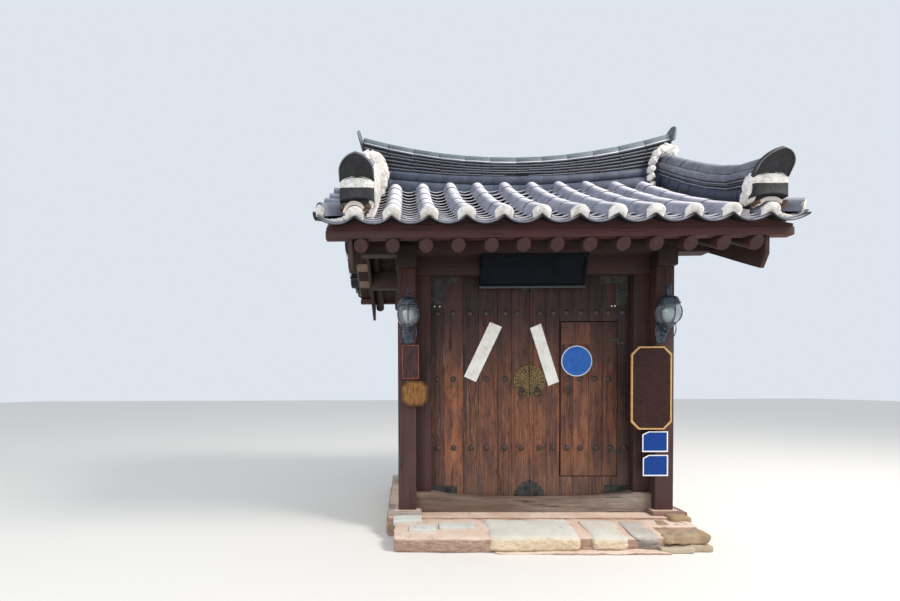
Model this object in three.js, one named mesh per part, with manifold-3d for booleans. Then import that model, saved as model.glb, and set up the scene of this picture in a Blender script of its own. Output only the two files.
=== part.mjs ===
// A Korean gatehouse with a plank gate, a timber frame and a gabled tile roof.
// Millimetres, +Z up, the street side faces -Y. The origin is on the ground, under the middle of the ridge.
import * as THREE from "three";
import { mergeVertices } from "three/addons/utils/BufferGeometryUtils.js";
import Module from "manifold-3d";

// Driving dimensions of the frame
const SEAT = 0.3; // gap left where one piece rests on another at a slope or in a notch
const POST = 170; // side of a square post
const POST_X = 1212; // post centres, 8 ja apart across the gate
const POST_Y = 710; // post centres from the ridge line, front and back
const PLINTH_TOP = 172;
const STEP_FOOTING = 50; // height of the mortar ledge under the step
const BASE_TOP = 212; // top of the stones under the posts
const POST_TOP = 2505;
const LINTEL = { bottom: 2463, top: 2640, front: -700, back: -605 };
const DOORWAY_HALF = 978; // from the middle to a jamb
const JAMB_FRONT = -683;
const SILL = { front: -735, end: 360, middle: 298 }; // the hollowed threshold
const BEAM = { width: 187, top: 2715, reach: 840 };
const PURLIN = { width: 140, bottom: 2640, ridgeWidth: 150, ridgeBottom: 3000 };

// Driving dimensions of the roof, where s is the distance from the ridge line in plan
const RAFTER = { radius: 57, pitch: 264, count: 13, end: 1390, axisAtEnd: 2523, rise: 0.5206, deck: 27 };
const EAVE_BOARD = { inner: 1325, outer: 1405 };
const BARGE = { inner: 1650, outer: 1685, depth: 280 };
const VERGE = { boardOuter: 1865, tileOuter: 1975, fall: 0.1, bracket: 56 };
const TILE = { eave: 1480, rows: 12, pitch: 295, roll: 118, rollHalf: 78, under: 40, ridgeTop: 3682, eaveTop: 2820, sag: 45 };
const FIELD_HALF = ((TILE.rows - 1) / 2) * TILE.pitch + TILE.rollHalf;
const SIDE_RIDGE = { inner: 1500, start: 150, end: 1462, height: 292, headFoot: 175, headLean: 0.68 };
const RIDGE = { half: 1680, top: 3934, lift: 235, endLean: 0.3 };

// Driving dimensions of the gate
const LEAF = { front: -595, plank: 32, batten: 45, bottom: 226, top: 2498, meeting: 3 };
const PIVOT = { x: 1003, y: -579, stile: 20, pin: 15, hole: 15.8 };
const WICKET = { left: 296, right: 866, bottom: 488, top: 2025, pivotX: 863.5, pivotY: -605 };
const HINGE = { heights: [690, 1790], pin: 4, hole: 4.5, sleeve: 8, length: 30, strap: 75 };
const BATTEN_ROWS = [780, 1463, 2107];

const wasm = await Module();
wasm.setup();

// A closed three.js geometry as a solid that can be joined and cut
function solid(geometry) {
  const bare = geometry.clone();
  bare.deleteAttribute("normal");
  bare.deleteAttribute("uv");
  const merged = mergeVertices(bare, 1e-3);
  const position = merged.attributes.position.array;
  return new wasm.Manifold(
    new wasm.Mesh({ numProp: 3, vertProperties: position, triVerts: new Uint32Array(merged.index.array) }),
  );
}

// A joined or cut solid as a three.js geometry
function geometryOf(manifold) {
  const mesh = manifold.getMesh();
  const geometry = new THREE.BufferGeometry();
  geometry.setAttribute("position", new THREE.BufferAttribute(new Float32Array(mesh.vertProperties), 3));
  geometry.setIndex(new THREE.BufferAttribute(new Uint32Array(mesh.triVerts), 1));
  geometry.computeVertexNormals();
  return geometry;
}

function join(...geometries) {
  return geometryOf(geometries.map(solid).reduce((a, b) => a.add(b)));
}

function cut(geometry, ...cutters) {
  return geometryOf(cutters.map(solid).reduce((a, b) => a.subtract(b), solid(geometry)));
}

function box(x0, x1, y0, y1, z0, z1) {
  return new THREE.BoxGeometry(x1 - x0, y1 - y0, z1 - z0).translate((x0 + x1) / 2, (y0 + y1) / 2, (z0 + z1) / 2);
}

function flatShape(points) {
  return new THREE.Shape(points.map(([u, v]) => new THREE.Vector2(u, v)));
}

// An outline of [y, z] points made solid from x0 to x1
function prismX(points, x0, x1) {
  const geometry = new THREE.ExtrudeGeometry(flatShape(points), { depth: x1 - x0, bevelEnabled: false });
  const turn = new THREE.Matrix4().set(0, 0, 1, x0, 1, 0, 0, 0, 0, 1, 0, 0, 0, 0, 0, 1);
  return geometry.applyMatrix4(turn);
}

// An outline of [x, z] points made solid from y0 to y1
function prismY(points, y0, y1) {
  const geometry = new THREE.ExtrudeGeometry(flatShape(points), { depth: y1 - y0, bevelEnabled: false });
  return geometry.rotateX(Math.PI / 2).translate(0, y1, 0);
}

// An outline of [x, y] points made solid from z0 to z1
function prismZ(points, z0, z1) {
  return new THREE.ExtrudeGeometry(flatShape(points), { depth: z1 - z0, bevelEnabled: false }).translate(0, 0, z0);
}

// An upright round bar with its axis at x, y
function bar(x, y, radius, z0, z1, sides = 24) {
  return new THREE.CylinderGeometry(radius, radius, z1 - z0, sides)
    .rotateX(Math.PI / 2)
    .translate(x, y, (z0 + z1) / 2);
}

// A solid skinned over outlines of the same number of [u, v] points; place(i, u, v) puts one in space
function loft(outlines, place) {
  const count = outlines[0].length;
  const vertices = outlines.flatMap((outline, i) => outline.flatMap(([u, v]) => place(i, u, v)));
  const faces = [];
  for (let i = 0; i + 1 < outlines.length; i++)
    for (let j = 0; j < count; j++) {
      const [a, b] = [i * count + j, i * count + ((j + 1) % count)];
      faces.push(a, b, b + count, a, b + count, a + count);
    }
  const cap = (outline) => THREE.ShapeUtils.triangulateShape(outline.map(([u, v]) => new THREE.Vector2(u, v)), []);
  const last = (outlines.length - 1) * count;
  cap(outlines[0]).forEach(([a, b, c]) => faces.push(a, c, b));
  cap(outlines.at(-1)).forEach(([a, b, c]) => faces.push(last + a, last + b, last + c));
  const geometry = new THREE.BufferGeometry();
  geometry.setAttribute("position", new THREE.Float32BufferAttribute(vertices, 3));
  geometry.setIndex(faces);
  return facingOut(geometry);
}

// The same geometry with its triangles turned so that its volume is positive
function facingOut(geometry) {
  const [p, index] = [geometry.attributes.position, geometry.index.array];
  const corner = (i) => new THREE.Vector3().fromBufferAttribute(p, index[i]);
  let volume = 0;
  for (let i = 0; i < index.length; i += 3) volume += corner(i).dot(corner(i + 1).cross(corner(i + 2)));
  if (volume < 0)
    for (let i = 0; i < index.length; i += 3) [index[i + 1], index[i + 2]] = [index[i + 2], index[i + 1]];
  geometry.computeVertexNormals();
  return geometry;
}

// Heights of the sloping planes and of the tiled surface
const rafterAxis = (s) => RAFTER.axisAtEnd + (RAFTER.end - s) * RAFTER.rise;
const SLANT = Math.hypot(1, RAFTER.rise);
const rafterUnder = (s) => rafterAxis(s) - RAFTER.radius * SLANT;
const rafterOver = (s) => rafterAxis(s) + RAFTER.radius * SLANT;
const deckUnder = (s) => rafterOver(s) - SLANT;
const deckTop = (s) => rafterOver(s) + RAFTER.deck;

function rollTop(s) {
  const t = s / TILE.eave;
  return TILE.ridgeTop + (TILE.eaveTop - TILE.ridgeTop) * t - 4 * TILE.sag * t * (1 - t);
}
const valley = (s) => rollTop(s) - TILE.roll;
const tileUnder = (s) => valley(s) - TILE.under;
const vergeDrop = (x) => Math.max(0, Math.abs(x) - FIELD_HALF) * VERGE.fall;
const SLOPE_STATIONS = [0.5, 180, 420, 700, 980, 1240, 1325, 1405, TILE.eave];

// Materials, with the colours of the photograph
const finish = (color, roughness, metalness = 0) => new THREE.MeshStandardMaterial({ color, roughness, metalness });
const TIMBER = finish(0x4a2c20, 0.75);
const DOOR_WOOD = finish(0x63402c, 0.8);
const TILES = finish(0x5b6270, 0.6);
const PLASTER = finish(0xd8d2c6, 0.95);
const STONE = finish(0xb9aa98, 0.9);
const EARTH = finish(0x9a8468, 1.0);
const LACQUER = finish(0x15191f, 0.5);
const IRON = finish(0x2a2c30, 0.5, 0.6);

const gatehouse = new THREE.Group();

function add(name, geometry, material, parent = gatehouse) {
  const mesh = new THREE.Mesh(geometry, material);
  mesh.name = name;
  parent.add(mesh);
  return mesh;
}

// Adds the piece and its mirror copy across the middle of the gate
function addLeftAndRight(name, geometry, material) {
  add(`${name}_right`, geometry, material);
  add(`${name}_left`, geometry, material).scale.x = -1;
}

// Adds the piece and its mirror copy across the ridge line
function addFrontAndRear(name, geometry, material) {
  add(`front_${name}`, geometry, material);
  add(`rear_${name}`, geometry, material).scale.y = -1;
}

// Adds the front right piece and its three mirror copies
function addFourCorners(name, geometry, material) {
  for (const [end, y] of [["front", 1], ["rear", -1]])
    for (const [side, x] of [["right", 1], ["left", -1]])
      add(`${name}_${end}_${side}`, geometry, material).scale.set(x, y, 1);
}

// The four stones under the posts
function baseStones(grow = 0) {
  const half = 120 + grow;
  return [1, -1].flatMap((x) =>
    [1, -1].map((y) => {
      const [cx, cy] = [x * POST_X, y * POST_Y];
      return box(cx - half, cx + half, cy - half, cy + half, PLINTH_TOP - 20, BASE_TOP + grow);
    }),
  );
}

// The mass of mortared stone that the gatehouse stands on
function plinth() {
  const [half, front, rear, corner] = [1390, -913, 1050, 60];
  const outline = [
    [-half, front], [half, front], [half, rear - corner],
    [half - corner, rear], [-half + corner, rear], [-half, rear - corner],
  ];
  return join(prismZ(outline, 0, PLINTH_TOP), ...baseStones());
}

// The mortared step of long granite slabs before the gate
function doorstep() {
  const [left, right, back, front] = [-1310, 1350, -913.5, -1306];
  const outline = [
    [left + 40, back], [left, -1010], [left + 20, -1180], [left + 130, front + 20], [-540, front],
    [250, front], [645, front + 12], [900, front + 25], [1180, front + 70], [right, -1110], [right - 40, back],
  ];
  const footing = [
    [left + 40, back], [left - 25, -1010], [left - 5, -1190], [left + 120, front - 25], [-540, front - 48],
    [250, front - 48], [645, front - 36], [900, front - 20], [1200, front + 25], [right + 25, -1110],
    [right - 40, back],
  ];
  return join(prismZ(outline, 0, PLINTH_TOP), prismZ(footing, 0, STEP_FOOTING));
}

function posts() {
  const post = box(-POST / 2, POST / 2, -POST / 2, POST / 2, BASE_TOP, POST_TOP);
  for (const [end, y] of [["front", -POST_Y], ["rear", POST_Y]])
    for (const [side, x] of [["left", -POST_X], ["right", POST_X]])
      add(`post_${end}_${side}`, post, TIMBER).position.set(x, y, 0);
}

// Blocks behind the doorway that hold the pins of the leaves
function pivotSockets(z0, z1, y0, y1) {
  return [-PIVOT.x, PIVOT.x].map((x) =>
    cut(box(x - 50, x + 50, y0, y1, z0, z1), bar(x, PIVOT.y, PIVOT.hole, z0 - 1, z1 + 1)),
  );
}

// A naturally bent log, laid with its hollow up so that feet clear it
function threshold() {
  const half = POST_X - POST / 2;
  const steps = 12;
  const hollow = Array.from({ length: steps + 1 }, (_, i) => {
    const u = 1 - (2 * i) / steps;
    return [u * DOORWAY_HALF, SILL.middle + (SILL.end - SILL.middle) * u ** 4];
  });
  const outline = [[-half, PLINTH_TOP], [half, PLINTH_TOP], [half, SILL.end], ...hollow, [-half, SILL.end]];
  const log = prismY(outline, SILL.front, LINTEL.back);
  const sockets = pivotSockets(PLINTH_TOP, LEAF.bottom - 8, LINTEL.back, LINTEL.back + 70);
  return cut(join(log, ...sockets), ...baseStones(SEAT));
}

// The beam over the doorway, between the posts below and the crossbeams above
function doorHead(front, back) {
  const [low, high] = [POST_X - POST / 2, POST_X - BEAM.width / 2 - SEAT];
  return join(
    box(-low, low, front, back, LINTEL.bottom, POST_TOP),
    box(-high, high, front, back, POST_TOP, LINTEL.top),
  );
}

function lintel() {
  const sockets = pivotSockets(LEAF.top + 8, LEAF.top + 72, LINTEL.back, LINTEL.back + 70);
  return join(doorHead(LINTEL.front, LINTEL.back), ...sockets);
}

const purlinOutline = (clear = 0) => {
  const [outer, inner] = [POST_Y + PURLIN.width / 2 + clear, POST_Y - PURLIN.width / 2 - clear];
  const bottom = PURLIN.bottom - clear;
  return [[-outer, bottom], [-inner, bottom], [-inner, rafterUnder(inner) - SEAT], [-outer, rafterUnder(outer) - SEAT]];
};

const ridgePurlinOutline = (clear = 0) => {
  const half = PURLIN.ridgeWidth / 2 + clear;
  const shoulder = rafterUnder(half) - SEAT + 2 * clear;
  return [
    [-half, PURLIN.ridgeBottom - clear], [half, PURLIN.ridgeBottom - clear],
    [half, shoulder], [0, rafterUnder(0) - SEAT + 2 * clear], [-half, shoulder],
  ];
};

// A beam from front post to rear post, notched for the purlins at both ends
function crossbeam() {
  const half = BEAM.width / 2;
  const beam = box(POST_X - half, POST_X + half, -BEAM.reach, BEAM.reach, POST_TOP, BEAM.top);
  const reach = POST_Y + PURLIN.width / 2 + SEAT;
  const inner = POST_Y - PURLIN.width / 2 - SEAT;
  const notch = (y0, y1) => box(POST_X - 200, POST_X + 200, y0, y1, PURLIN.bottom - SEAT / 3, BEAM.top + 10);
  return cut(beam, notch(-reach, -inner), notch(inner, reach));
}

// The short board-like post that carries the ridge purlin
function kingPost() {
  const outline = [[-150, BEAM.top], [150, BEAM.top], [85, PURLIN.ridgeBottom], [-85, PURLIN.ridgeBottom]];
  return prismX(outline, POST_X - 60, POST_X + 60);
}

// The plaster that closes the gable between the crossbeam and the roof boards
function gablePanel() {
  const end = POST_Y - PURLIN.width / 2 - SEAT;
  const under = (s) => deckUnder(s) - SEAT;
  const outline = [[-end, BEAM.top + SEAT], [end, BEAM.top + SEAT], [end, under(end)], [0, under(0)], [-end, under(end)]];
  const panel = prismX(outline, POST_X - 30, POST_X + 30);
  const king = prismX(
    [[-152, BEAM.top - 1], [152, BEAM.top - 1], [86, PURLIN.ridgeBottom + 1], [-86, PURLIN.ridgeBottom + 1]],
    POST_X - 70, POST_X + 70,
  );
  return cut(panel, king, prismX(ridgePurlinOutline(SEAT), POST_X - 80, POST_X + 80));
}

// Round rafters of one slope, joined by the roof boards nailed over them
function rafters() {
  const { radius, count, pitch, end, rise } = RAFTER;
  const flat = radius / Math.cos(Math.PI / 8);
  const pieces = [];
  for (let i = 0; i < count; i++) {
    const x = (i - (count - 1) / 2) * pitch;
    const rafter = new THREE.CylinderGeometry(flat, flat, (end + 300) * SLANT, 8, 1, false, Math.PI / 8)
      .rotateX(Math.atan(rise))
      .translate(x, -end / 2, rafterAxis(end / 2));
    pieces.push(rafter);
  }
  const [inner, outer] = [SEAT, EAVE_BOARD.inner - SEAT];
  const boards = prismX(
    [[-outer, deckUnder(outer)], [-inner, deckUnder(inner)], [-inner, deckTop(inner)], [-outer, deckTop(outer)]],
    -BARGE.inner + 0.5, BARGE.inner - 0.5,
  );
  const rearSide = box(-2000, 2000, -SEAT, 900, 2000, 4500);
  const beyondEnd = box(-2000, 2000, -2400, -end, 2000, 4500);
  return cut(join(boards, ...pieces), rearSide, beyondEnd);
}

// The board laid along the rafter ends, and the scalloped board on it that beds the tiles
function eaveBoard() {
  const { inner, outer } = EAVE_BOARD;
  const xs = [-VERGE.boardOuter, -FIELD_HALF, FIELD_HALF, VERGE.boardOuter];
  const outlines = xs.map((x) => [
    [-outer, rafterOver(outer) + SEAT], [-inner, rafterOver(inner) + SEAT],
    [-inner, tileUnder(inner) - SEAT - vergeDrop(x)], [-outer, tileUnder(outer) - SEAT - vergeDrop(x)],
  ]);
  return loft(outlines, (i, y, z) => [xs[i], y, z]);
}

// One of the broad boards that close a gable, hung outside the purlin ends
function bargeboard() {
  const top = (s) => rafterOver(s) - SEAT;
  const end = RAFTER.end;
  const outline = [
    [-end, top(end)], [-end, top(end) - 150], [-end + 55, top(end - 55) - BARGE.depth],
    [-SEAT, top(0) - BARGE.depth - 20], [-SEAT, top(0)],
  ];
  return prismX(outline, BARGE.inner, BARGE.outer);
}

// The short outriggers over a bargeboard and the bedding that they carry
function vergeBoard() {
  const [inner, outer, bracket] = [SEAT, EAVE_BOARD.inner - SEAT, VERGE.bracket];
  const line = SLOPE_STATIONS.filter((s) => s < outer).map((s) => Math.max(s, inner));
  const top = (s, x) => tileUnder(s) - SEAT - vergeDrop(x);
  const xs = [BARGE.inner, FIELD_HALF, VERGE.boardOuter];
  const outlines = xs.map((x) => [
    [-outer, rafterOver(outer) + bracket], [-inner, rafterOver(inner) + bracket],
    ...[...line, outer].map((s) => [-s, top(s, x)]),
  ]);
  const bedding = loft(outlines, (i, y, z) => [xs[i], y, z]);
  const outriggers = vergeRolls().filter((s) => s + 30 < outer).map((s) => {
    const [a, b] = [s - 30, s + 30];
    const low = SEAT / 3;
    return prismX(
      [[-b, rafterOver(b) + low], [-a, rafterOver(a) + low], [-a, rafterOver(a) + bracket + 5],
        [-b, rafterOver(b) + bracket + 5]],
      BARGE.inner, VERGE.boardOuter - 20,
    );
  });
  return join(bedding, ...outriggers);
}

// The clay bed between the roof boards and the tiles
function roofBed() {
  const [inner, outer] = [SEAT, EAVE_BOARD.inner - SEAT];
  const line = [inner, ...SLOPE_STATIONS.filter((s) => s > 1 && s < outer), outer];
  const outline = [
    ...[outer, inner].map((s) => [-s, deckTop(s) + SEAT]),
    ...line.map((s) => [-s, tileUnder(s) - SEAT]),
  ];
  return prismX(outline, -BARGE.inner + 0.5, BARGE.inner - 0.5);
}

// Height over the valley line at a distance u from the middle of a roll of round tiles
const ROLL_PROFILE = [[0, TILE.roll], [45, 105], [72, 60], [TILE.rollHalf, 34]];

// The tiled field of one slope: troughs of curved tiles and rolls of round tiles over their joints
function tileField() {
  const top = [];
  for (let i = 0; i < TILE.rows; i++) {
    const x = (i - (TILE.rows - 1) / 2) * TILE.pitch;
    const before = ROLL_PROFILE.toReversed().map(([u, h]) => [x - u, h]);
    const after = ROLL_PROFILE.slice(1).map(([u, h]) => [x + u, h]);
    top.push(...before, ...after, [x + TILE.pitch / 2, 0]);
  }
  top.pop();
  const edge = Math.abs(top[0][0]);
  const outline = [[-edge, -TILE.under], [edge, -TILE.under], ...top.reverse()];
  return loft(SLOPE_STATIONS.map(() => outline), (i, x, h) => [x, -SLOPE_STATIONS[i], valley(SLOPE_STATIONS[i]) + h]);
}
// Distances from the ridge line of the rolls that run out over a verge
function vergeRolls() {
  const [first, pitch, count] = [1340, 285, 5];
  return Array.from({ length: count }, (_, k) => first - k * pitch);
}

// The tiles outside a side ridge, laid across the slope and falling outward
function vergeTiles() {
  const rise = vergeRolls().toReversed().flatMap((s) => [
    [s - 78, 42], [s - 45, 106], [s, 120], [s + 45, 106], [s + 78, 42], [s + 110, 18],
  ]);
  const top = [[0.5, 38], ...rise.slice(0, -1), [TILE.eave, 0]];
  const under = SLOPE_STATIONS.map((s) => [-s, tileUnder(s)]);
  const outline = [...under.toReversed(), ...top.map(([s, h]) => [-s, valley(s) + h])];
  const xs = [FIELD_HALF + SEAT, VERGE.tileOuter];
  return loft([outline, outline], (i, y, z) => [xs[i], y, z - vergeDrop(xs[i])]);
}

// The pointed round-headed tile that ends a ridge, as an outline of [across, up] points
function endTileOutline() {
  const [half, shoulder, height, steps] = [134, 70, 208, 5];
  const side = Array.from({ length: steps }, (_, i) => {
    const a = (i / steps) * (Math.PI / 2);
    return [half * Math.cos(a) ** 0.9, shoulder + (height - shoulder) * Math.sin(a)];
  });
  return [[-half, 0], [half, 0], ...side, [0, height], ...side.toReversed().map(([u, v]) => [-u, v])];
}

// The main ridge: courses of tiles laid on edge and flat, swept up towards both ends
function mainRidge(cutters) {
  const stations = Array.from({ length: 15 }, (_, i) => -RIDGE.half + (i * 2 * RIDGE.half) / 14);
  const outlines = stations.map((x) => {
    const lift = RIDGE.lift * (x / RIDGE.half) ** 2;
    const low = lift * 0.12;
    const side = [
      [165, valley(165) - 20], [165, 3542 + low], [142, 3592 + low], [120, 3600 + low], [124, 3655 + low],
      [100, 3698 + low], [100, RIDGE.top - 96 + lift], [72, RIDGE.top - 88 + lift], [66, RIDGE.top - 46 + lift],
      [42, RIDGE.top - 12 + lift],
    ];
    return [[0, valley(0) - 20], ...side, [0, RIDGE.top + lift], ...side.toReversed().map(([y, z]) => [-y, z])];
  });
  const body = loft(outlines, (i, y, z) => [stations[i], y, z]);
  const tiles = [1, -1].map((side) => {
    const tile = prismX(endTileOutline(), -14, 14);
    tile.rotateY(side * RIDGE.endLean).translate(side * (RIDGE.half + 2), 0, RIDGE.top + RIDGE.lift - 122);
    return tile;
  });
  return cut(join(body, ...tiles), ...cutters);
}

// The packing behind a leaning end tile, from the upper part of the ridge outline at its end
function headPacking(outline, middle) {
  const { end, headFoot, headLean } = SIDE_RIDGE;
  const upper = outline.filter(([, h]) => h > headFoot);
  const width = upper[0][0];
  const section = [[-width, headFoot], [width, headFoot], ...upper];
  return loft([section, section], (i, u, h) => {
    const leaning = i * (h - headFoot);
    const [out, down] = [i + leaning * Math.sin(headLean), leaning * (1 - Math.cos(headLean))];
    return [middle + u, 1 - end - out, rollTop(end) + h - down];
  });
}

// A ridge that runs down beside a gable, with a leaning end tile over the eave
function sideRidge(cutters) {
  const { inner, start, end, height, headFoot, headLean } = SIDE_RIDGE;
  const middle = (inner + FIELD_HALF) / 2;
  const half = (FIELD_HALF - inner) / 2;
  const stations = [start, 380, 600, 800, 980, 1130, 1260, 1370, end];
  const outlines = stations.map((s) => {
    const lift = 178 * (s / end) ** 6 - 110 * (s / end) ** 2;
    const side = [[half, 100], [half - 16, 104], [half - 16, 235 + lift], [62, 240 + lift], [44, 278 + lift]];
    const left = side.toReversed().map(([u, h]) => [-u, h]);
    return [[-half, -TILE.roll - 20], [half, -TILE.roll - 20], ...side, [0, height + lift], ...left];
  });
  const body = loft(outlines, (i, u, h) => [middle + u, -stations[i], rollTop(stations[i]) + h]);
  const packing = headPacking(outlines.at(-1), middle);
  const foot = box(middle - 130, middle + 130, -end - 40, -end + 30, rollTop(end) + 12, rollTop(end) + headFoot + 6);
  const tile = prismY(endTileOutline(), -14, 14);
  tile.rotateX(headLean).translate(middle, -end - 16, rollTop(end) + headFoot);
  return cut(join(body, packing, foot, tile), ...cutters);
}

// Raised copies of the tiled fields and verges, which shape the undersides of the ridges
function ridgeCutters() {
  const [field, verge] = [tileField(), vergeTiles()];
  const mirrored = (geometry, x, y) => {
    const copy = geometry.clone().scale(x, y, 1);
    return facingOut(copy.index ? copy : mergeVertices(copy));
  };
  const all = [mirrored(field, 1, 1), mirrored(field, 1, -1)];
  for (const x of [1, -1]) for (const y of [1, -1]) all.push(mirrored(verge, x, y));
  return all.map((geometry) => geometry.translate(0, 0, SEAT));
}

// One leaf with its round hanging stile, pivot pins and the battens behind its planks, hinged on the left
function leaf() {
  const back = LEAF.front + LEAF.plank;
  const boards = box(-PIVOT.x, -LEAF.meeting, LEAF.front, back, LEAF.bottom, LEAF.top);
  const stile = bar(-PIVOT.x, PIVOT.y, PIVOT.stile, LEAF.bottom, LEAF.top);
  const pin = bar(-PIVOT.x, PIVOT.y, PIVOT.pin, LEAF.bottom - 40, LEAF.top + 45);
  const battens = BATTEN_ROWS.map((z) =>
    box(-PIVOT.x + 30, -LEAF.meeting - 10, back - 1, back + LEAF.batten, z - 42, z + 42),
  );
  return [boards, stile, pin, ...battens];
}

// Iron knuckles of the small door, from z0 to z1, on a strap that reaches from their axis to x
function knuckle(x, z0, z1) {
  const [x0, x1] = [Math.min(x, WICKET.pivotX), Math.max(x, WICKET.pivotX)];
  const strap = box(x0, x1, LEAF.front - 6, LEAF.front + 1, z0, z1);
  return [strap, bar(WICKET.pivotX, WICKET.pivotY, HINGE.sleeve, z0, z1)];
}

// The right leaf, with the hole for the small door and the sleeves that carry it
function rightLeaf() {
  const mirrored = leaf().map((geometry) => facingOut(mergeVertices(geometry.scale(-1, 1, 1))));
  const hole = box(WICKET.left, WICKET.right, LEAF.front - 5, LEAF.front + 150, WICKET.bottom, WICKET.top);
  const boards = cut(join(...mirrored), hole);
  const sleeves = HINGE.heights.flatMap((z) => knuckle(WICKET.pivotX + HINGE.strap, z, z + HINGE.length));
  const bores = HINGE.heights.map((z) => bar(WICKET.pivotX, WICKET.pivotY, HINGE.hole, z - 1, z + HINGE.length + 1));
  return cut(join(boards, ...sleeves), ...bores);
}

// The small door in the right leaf, with its two hinge pins
function wicket() {
  const [x0, x1] = [WICKET.left + 13, WICKET.right - 5];
  const [z0, z1] = [WICKET.bottom + 8, WICKET.top - 8];
  const back = LEAF.front + LEAF.plank;
  const boards = box(x0, x1, LEAF.front, back, z0, z1);
  const battens = [BATTEN_ROWS[0], BATTEN_ROWS[1], z1 - 60].map((z) =>
    box(x0, x1, back - 1, back + LEAF.batten, z - 42, z + 42),
  );
  const hinges = HINGE.heights.flatMap((z) => {
    const low = z + HINGE.length + 1;
    const pin = bar(WICKET.pivotX, WICKET.pivotY, HINGE.pin, z, low + 5);
    return [...knuckle(WICKET.pivotX - HINGE.strap, low, low + HINGE.length), pin];
  });
  return join(boards, ...battens, ...hinges);
}

// The framed board over the doorway, leaning out from the edge of the lintel
function nameBoard() {
  const [width, height, thick, rim] = [978, 300, 36, 36];
  const board = box(-width / 2, width / 2, -thick, 0, -height / 2, height / 2);
  const panel = box(-width / 2 + rim, width / 2 - rim, -thick - 1, -thick + 14, -height / 2 + rim, height / 2 - rim);
  return cut(board, panel);
}

// A wall lantern: back plate, scrolled arm and lamp in one
function lantern() {
  const plate = box(-28, 28, 0, 14, -110, 70);
  const arm = prismX([[4, -60], [4, -20], [-60, 10], [-90, 60], [-120, 60], [-90, -30]], -10, 10);
  const outline = [
    [0, 40], [30, 45], [58, 75], [82, 200], [82, 245], [96, 255], [70, 300], [40, 330], [14, 350], [8, 392], [0, 400],
  ];
  const lamp = new THREE.LatheGeometry(outline.map(([r, z]) => new THREE.Vector2(r, z)), 12);
  lamp.rotateX(Math.PI / 2).translate(0, -105, 0);
  return join(plate, arm, facingOut(mergeVertices(bareCopy(lamp), 1e-3)));
}

function bareCopy(geometry) {
  const copy = geometry.clone();
  copy.deleteAttribute("normal");
  copy.deleteAttribute("uv");
  return copy;
}

function buildBase() {
  add("plinth", plinth(), STONE);
  add("doorstep", doorstep(), STONE);
}

function buildFrame() {
  posts();
  add("threshold", threshold(), TIMBER);
  add("lintel", lintel(), TIMBER);
  add("rear_tie_beam", doorHead(LINTEL.front, LINTEL.back), TIMBER).scale.y = -1;
  addLeftAndRight("jamb", box(DOORWAY_HALF, POST_X - POST / 2, JAMB_FRONT, LINTEL.back, SILL.end, LINTEL.bottom), TIMBER);
  addLeftAndRight("crossbeam", crossbeam(), TIMBER);
  addLeftAndRight("king_post", kingPost(), TIMBER);
  const purlinEnd = BARGE.inner - 0.5;
  addFrontAndRear("purlin", prismX(purlinOutline(), -purlinEnd, purlinEnd), TIMBER);
  add("ridge_purlin", prismX(ridgePurlinOutline(), -purlinEnd, purlinEnd), TIMBER);
}

function buildSideWalls() {
  const wallEnd = POST_Y - POST / 2;
  const rail = { bottom: 1230, top: 1350, half: 45 };
  const [wall0, wall1] = [POST_X - 35, POST_X + 35];
  const lower = box(wall0, wall1, -wallEnd, wallEnd, PLINTH_TOP, rail.bottom);
  addLeftAndRight("side_wall_lower", cut(lower, ...baseStones(SEAT)), PLASTER);
  addLeftAndRight("side_rail", box(POST_X - rail.half, POST_X + rail.half, -wallEnd, wallEnd, rail.bottom, rail.top), TIMBER);
  addLeftAndRight("side_wall_upper", box(wall0, wall1, -wallEnd, wallEnd, rail.top, POST_TOP), PLASTER);
  addLeftAndRight("gable_panel", gablePanel(), PLASTER);
}

function buildRoof() {
  addFrontAndRear("rafters", rafters(), TIMBER);
  addFrontAndRear("eave_board", eaveBoard(), TIMBER);
  addFrontAndRear("roof_bed", roofBed(), EARTH);
  addFrontAndRear("tile_field", tileField(), TILES);
  addFourCorners("bargeboard", bargeboard(), TIMBER);
  addFourCorners("verge_board", vergeBoard(), TIMBER);
  addFourCorners("verge_tiles", vergeTiles(), TILES);
  const cutters = ridgeCutters();
  const ridge = mainRidge(cutters);
  add("main_ridge", ridge, TILES);
  const shifts = [[0, 0, 0], [-SEAT, 0, 0], [SEAT, 0, 0], [0, -SEAT, 0], [0, 0, SEAT], [0, -SEAT, SEAT]];
  const grown = shifts.map((shift) => ridge.clone().translate(...shift));
  addFourCorners("side_ridge", sideRidge([...cutters, ...grown]), TILES);
}

function buildGate() {
  add("door_leaf_left", join(...leaf()), DOOR_WOOD);
  add("door_leaf_right", rightLeaf(), DOOR_WOOD);
  add("wicket_door", wicket(), DOOR_WOOD);
}

function buildFittings() {
  const lean = 0.31; // radians from upright
  const board = add("name_board", nameBoard(), LACQUER);
  board.rotation.x = lean;
  board.position.set(-50, LINTEL.front - 0.4 / Math.cos(lean), LINTEL.bottom);
  const lamp = lantern();
  for (const [side, x] of [["left", -1197], ["right", 1180]])
    add(`lantern_${side}`, lamp, IRON).position.set(x, -POST_Y - POST / 2 - 14 - SEAT, 1910);
}

buildBase();
buildFrame();
buildSideWalls();
buildRoof();
buildGate();
buildFittings();

export default gatehouse;
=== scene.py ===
import math
import random

import bmesh
import bpy
import numpy as np
from mathutils import Matrix, Vector, noise


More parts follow.
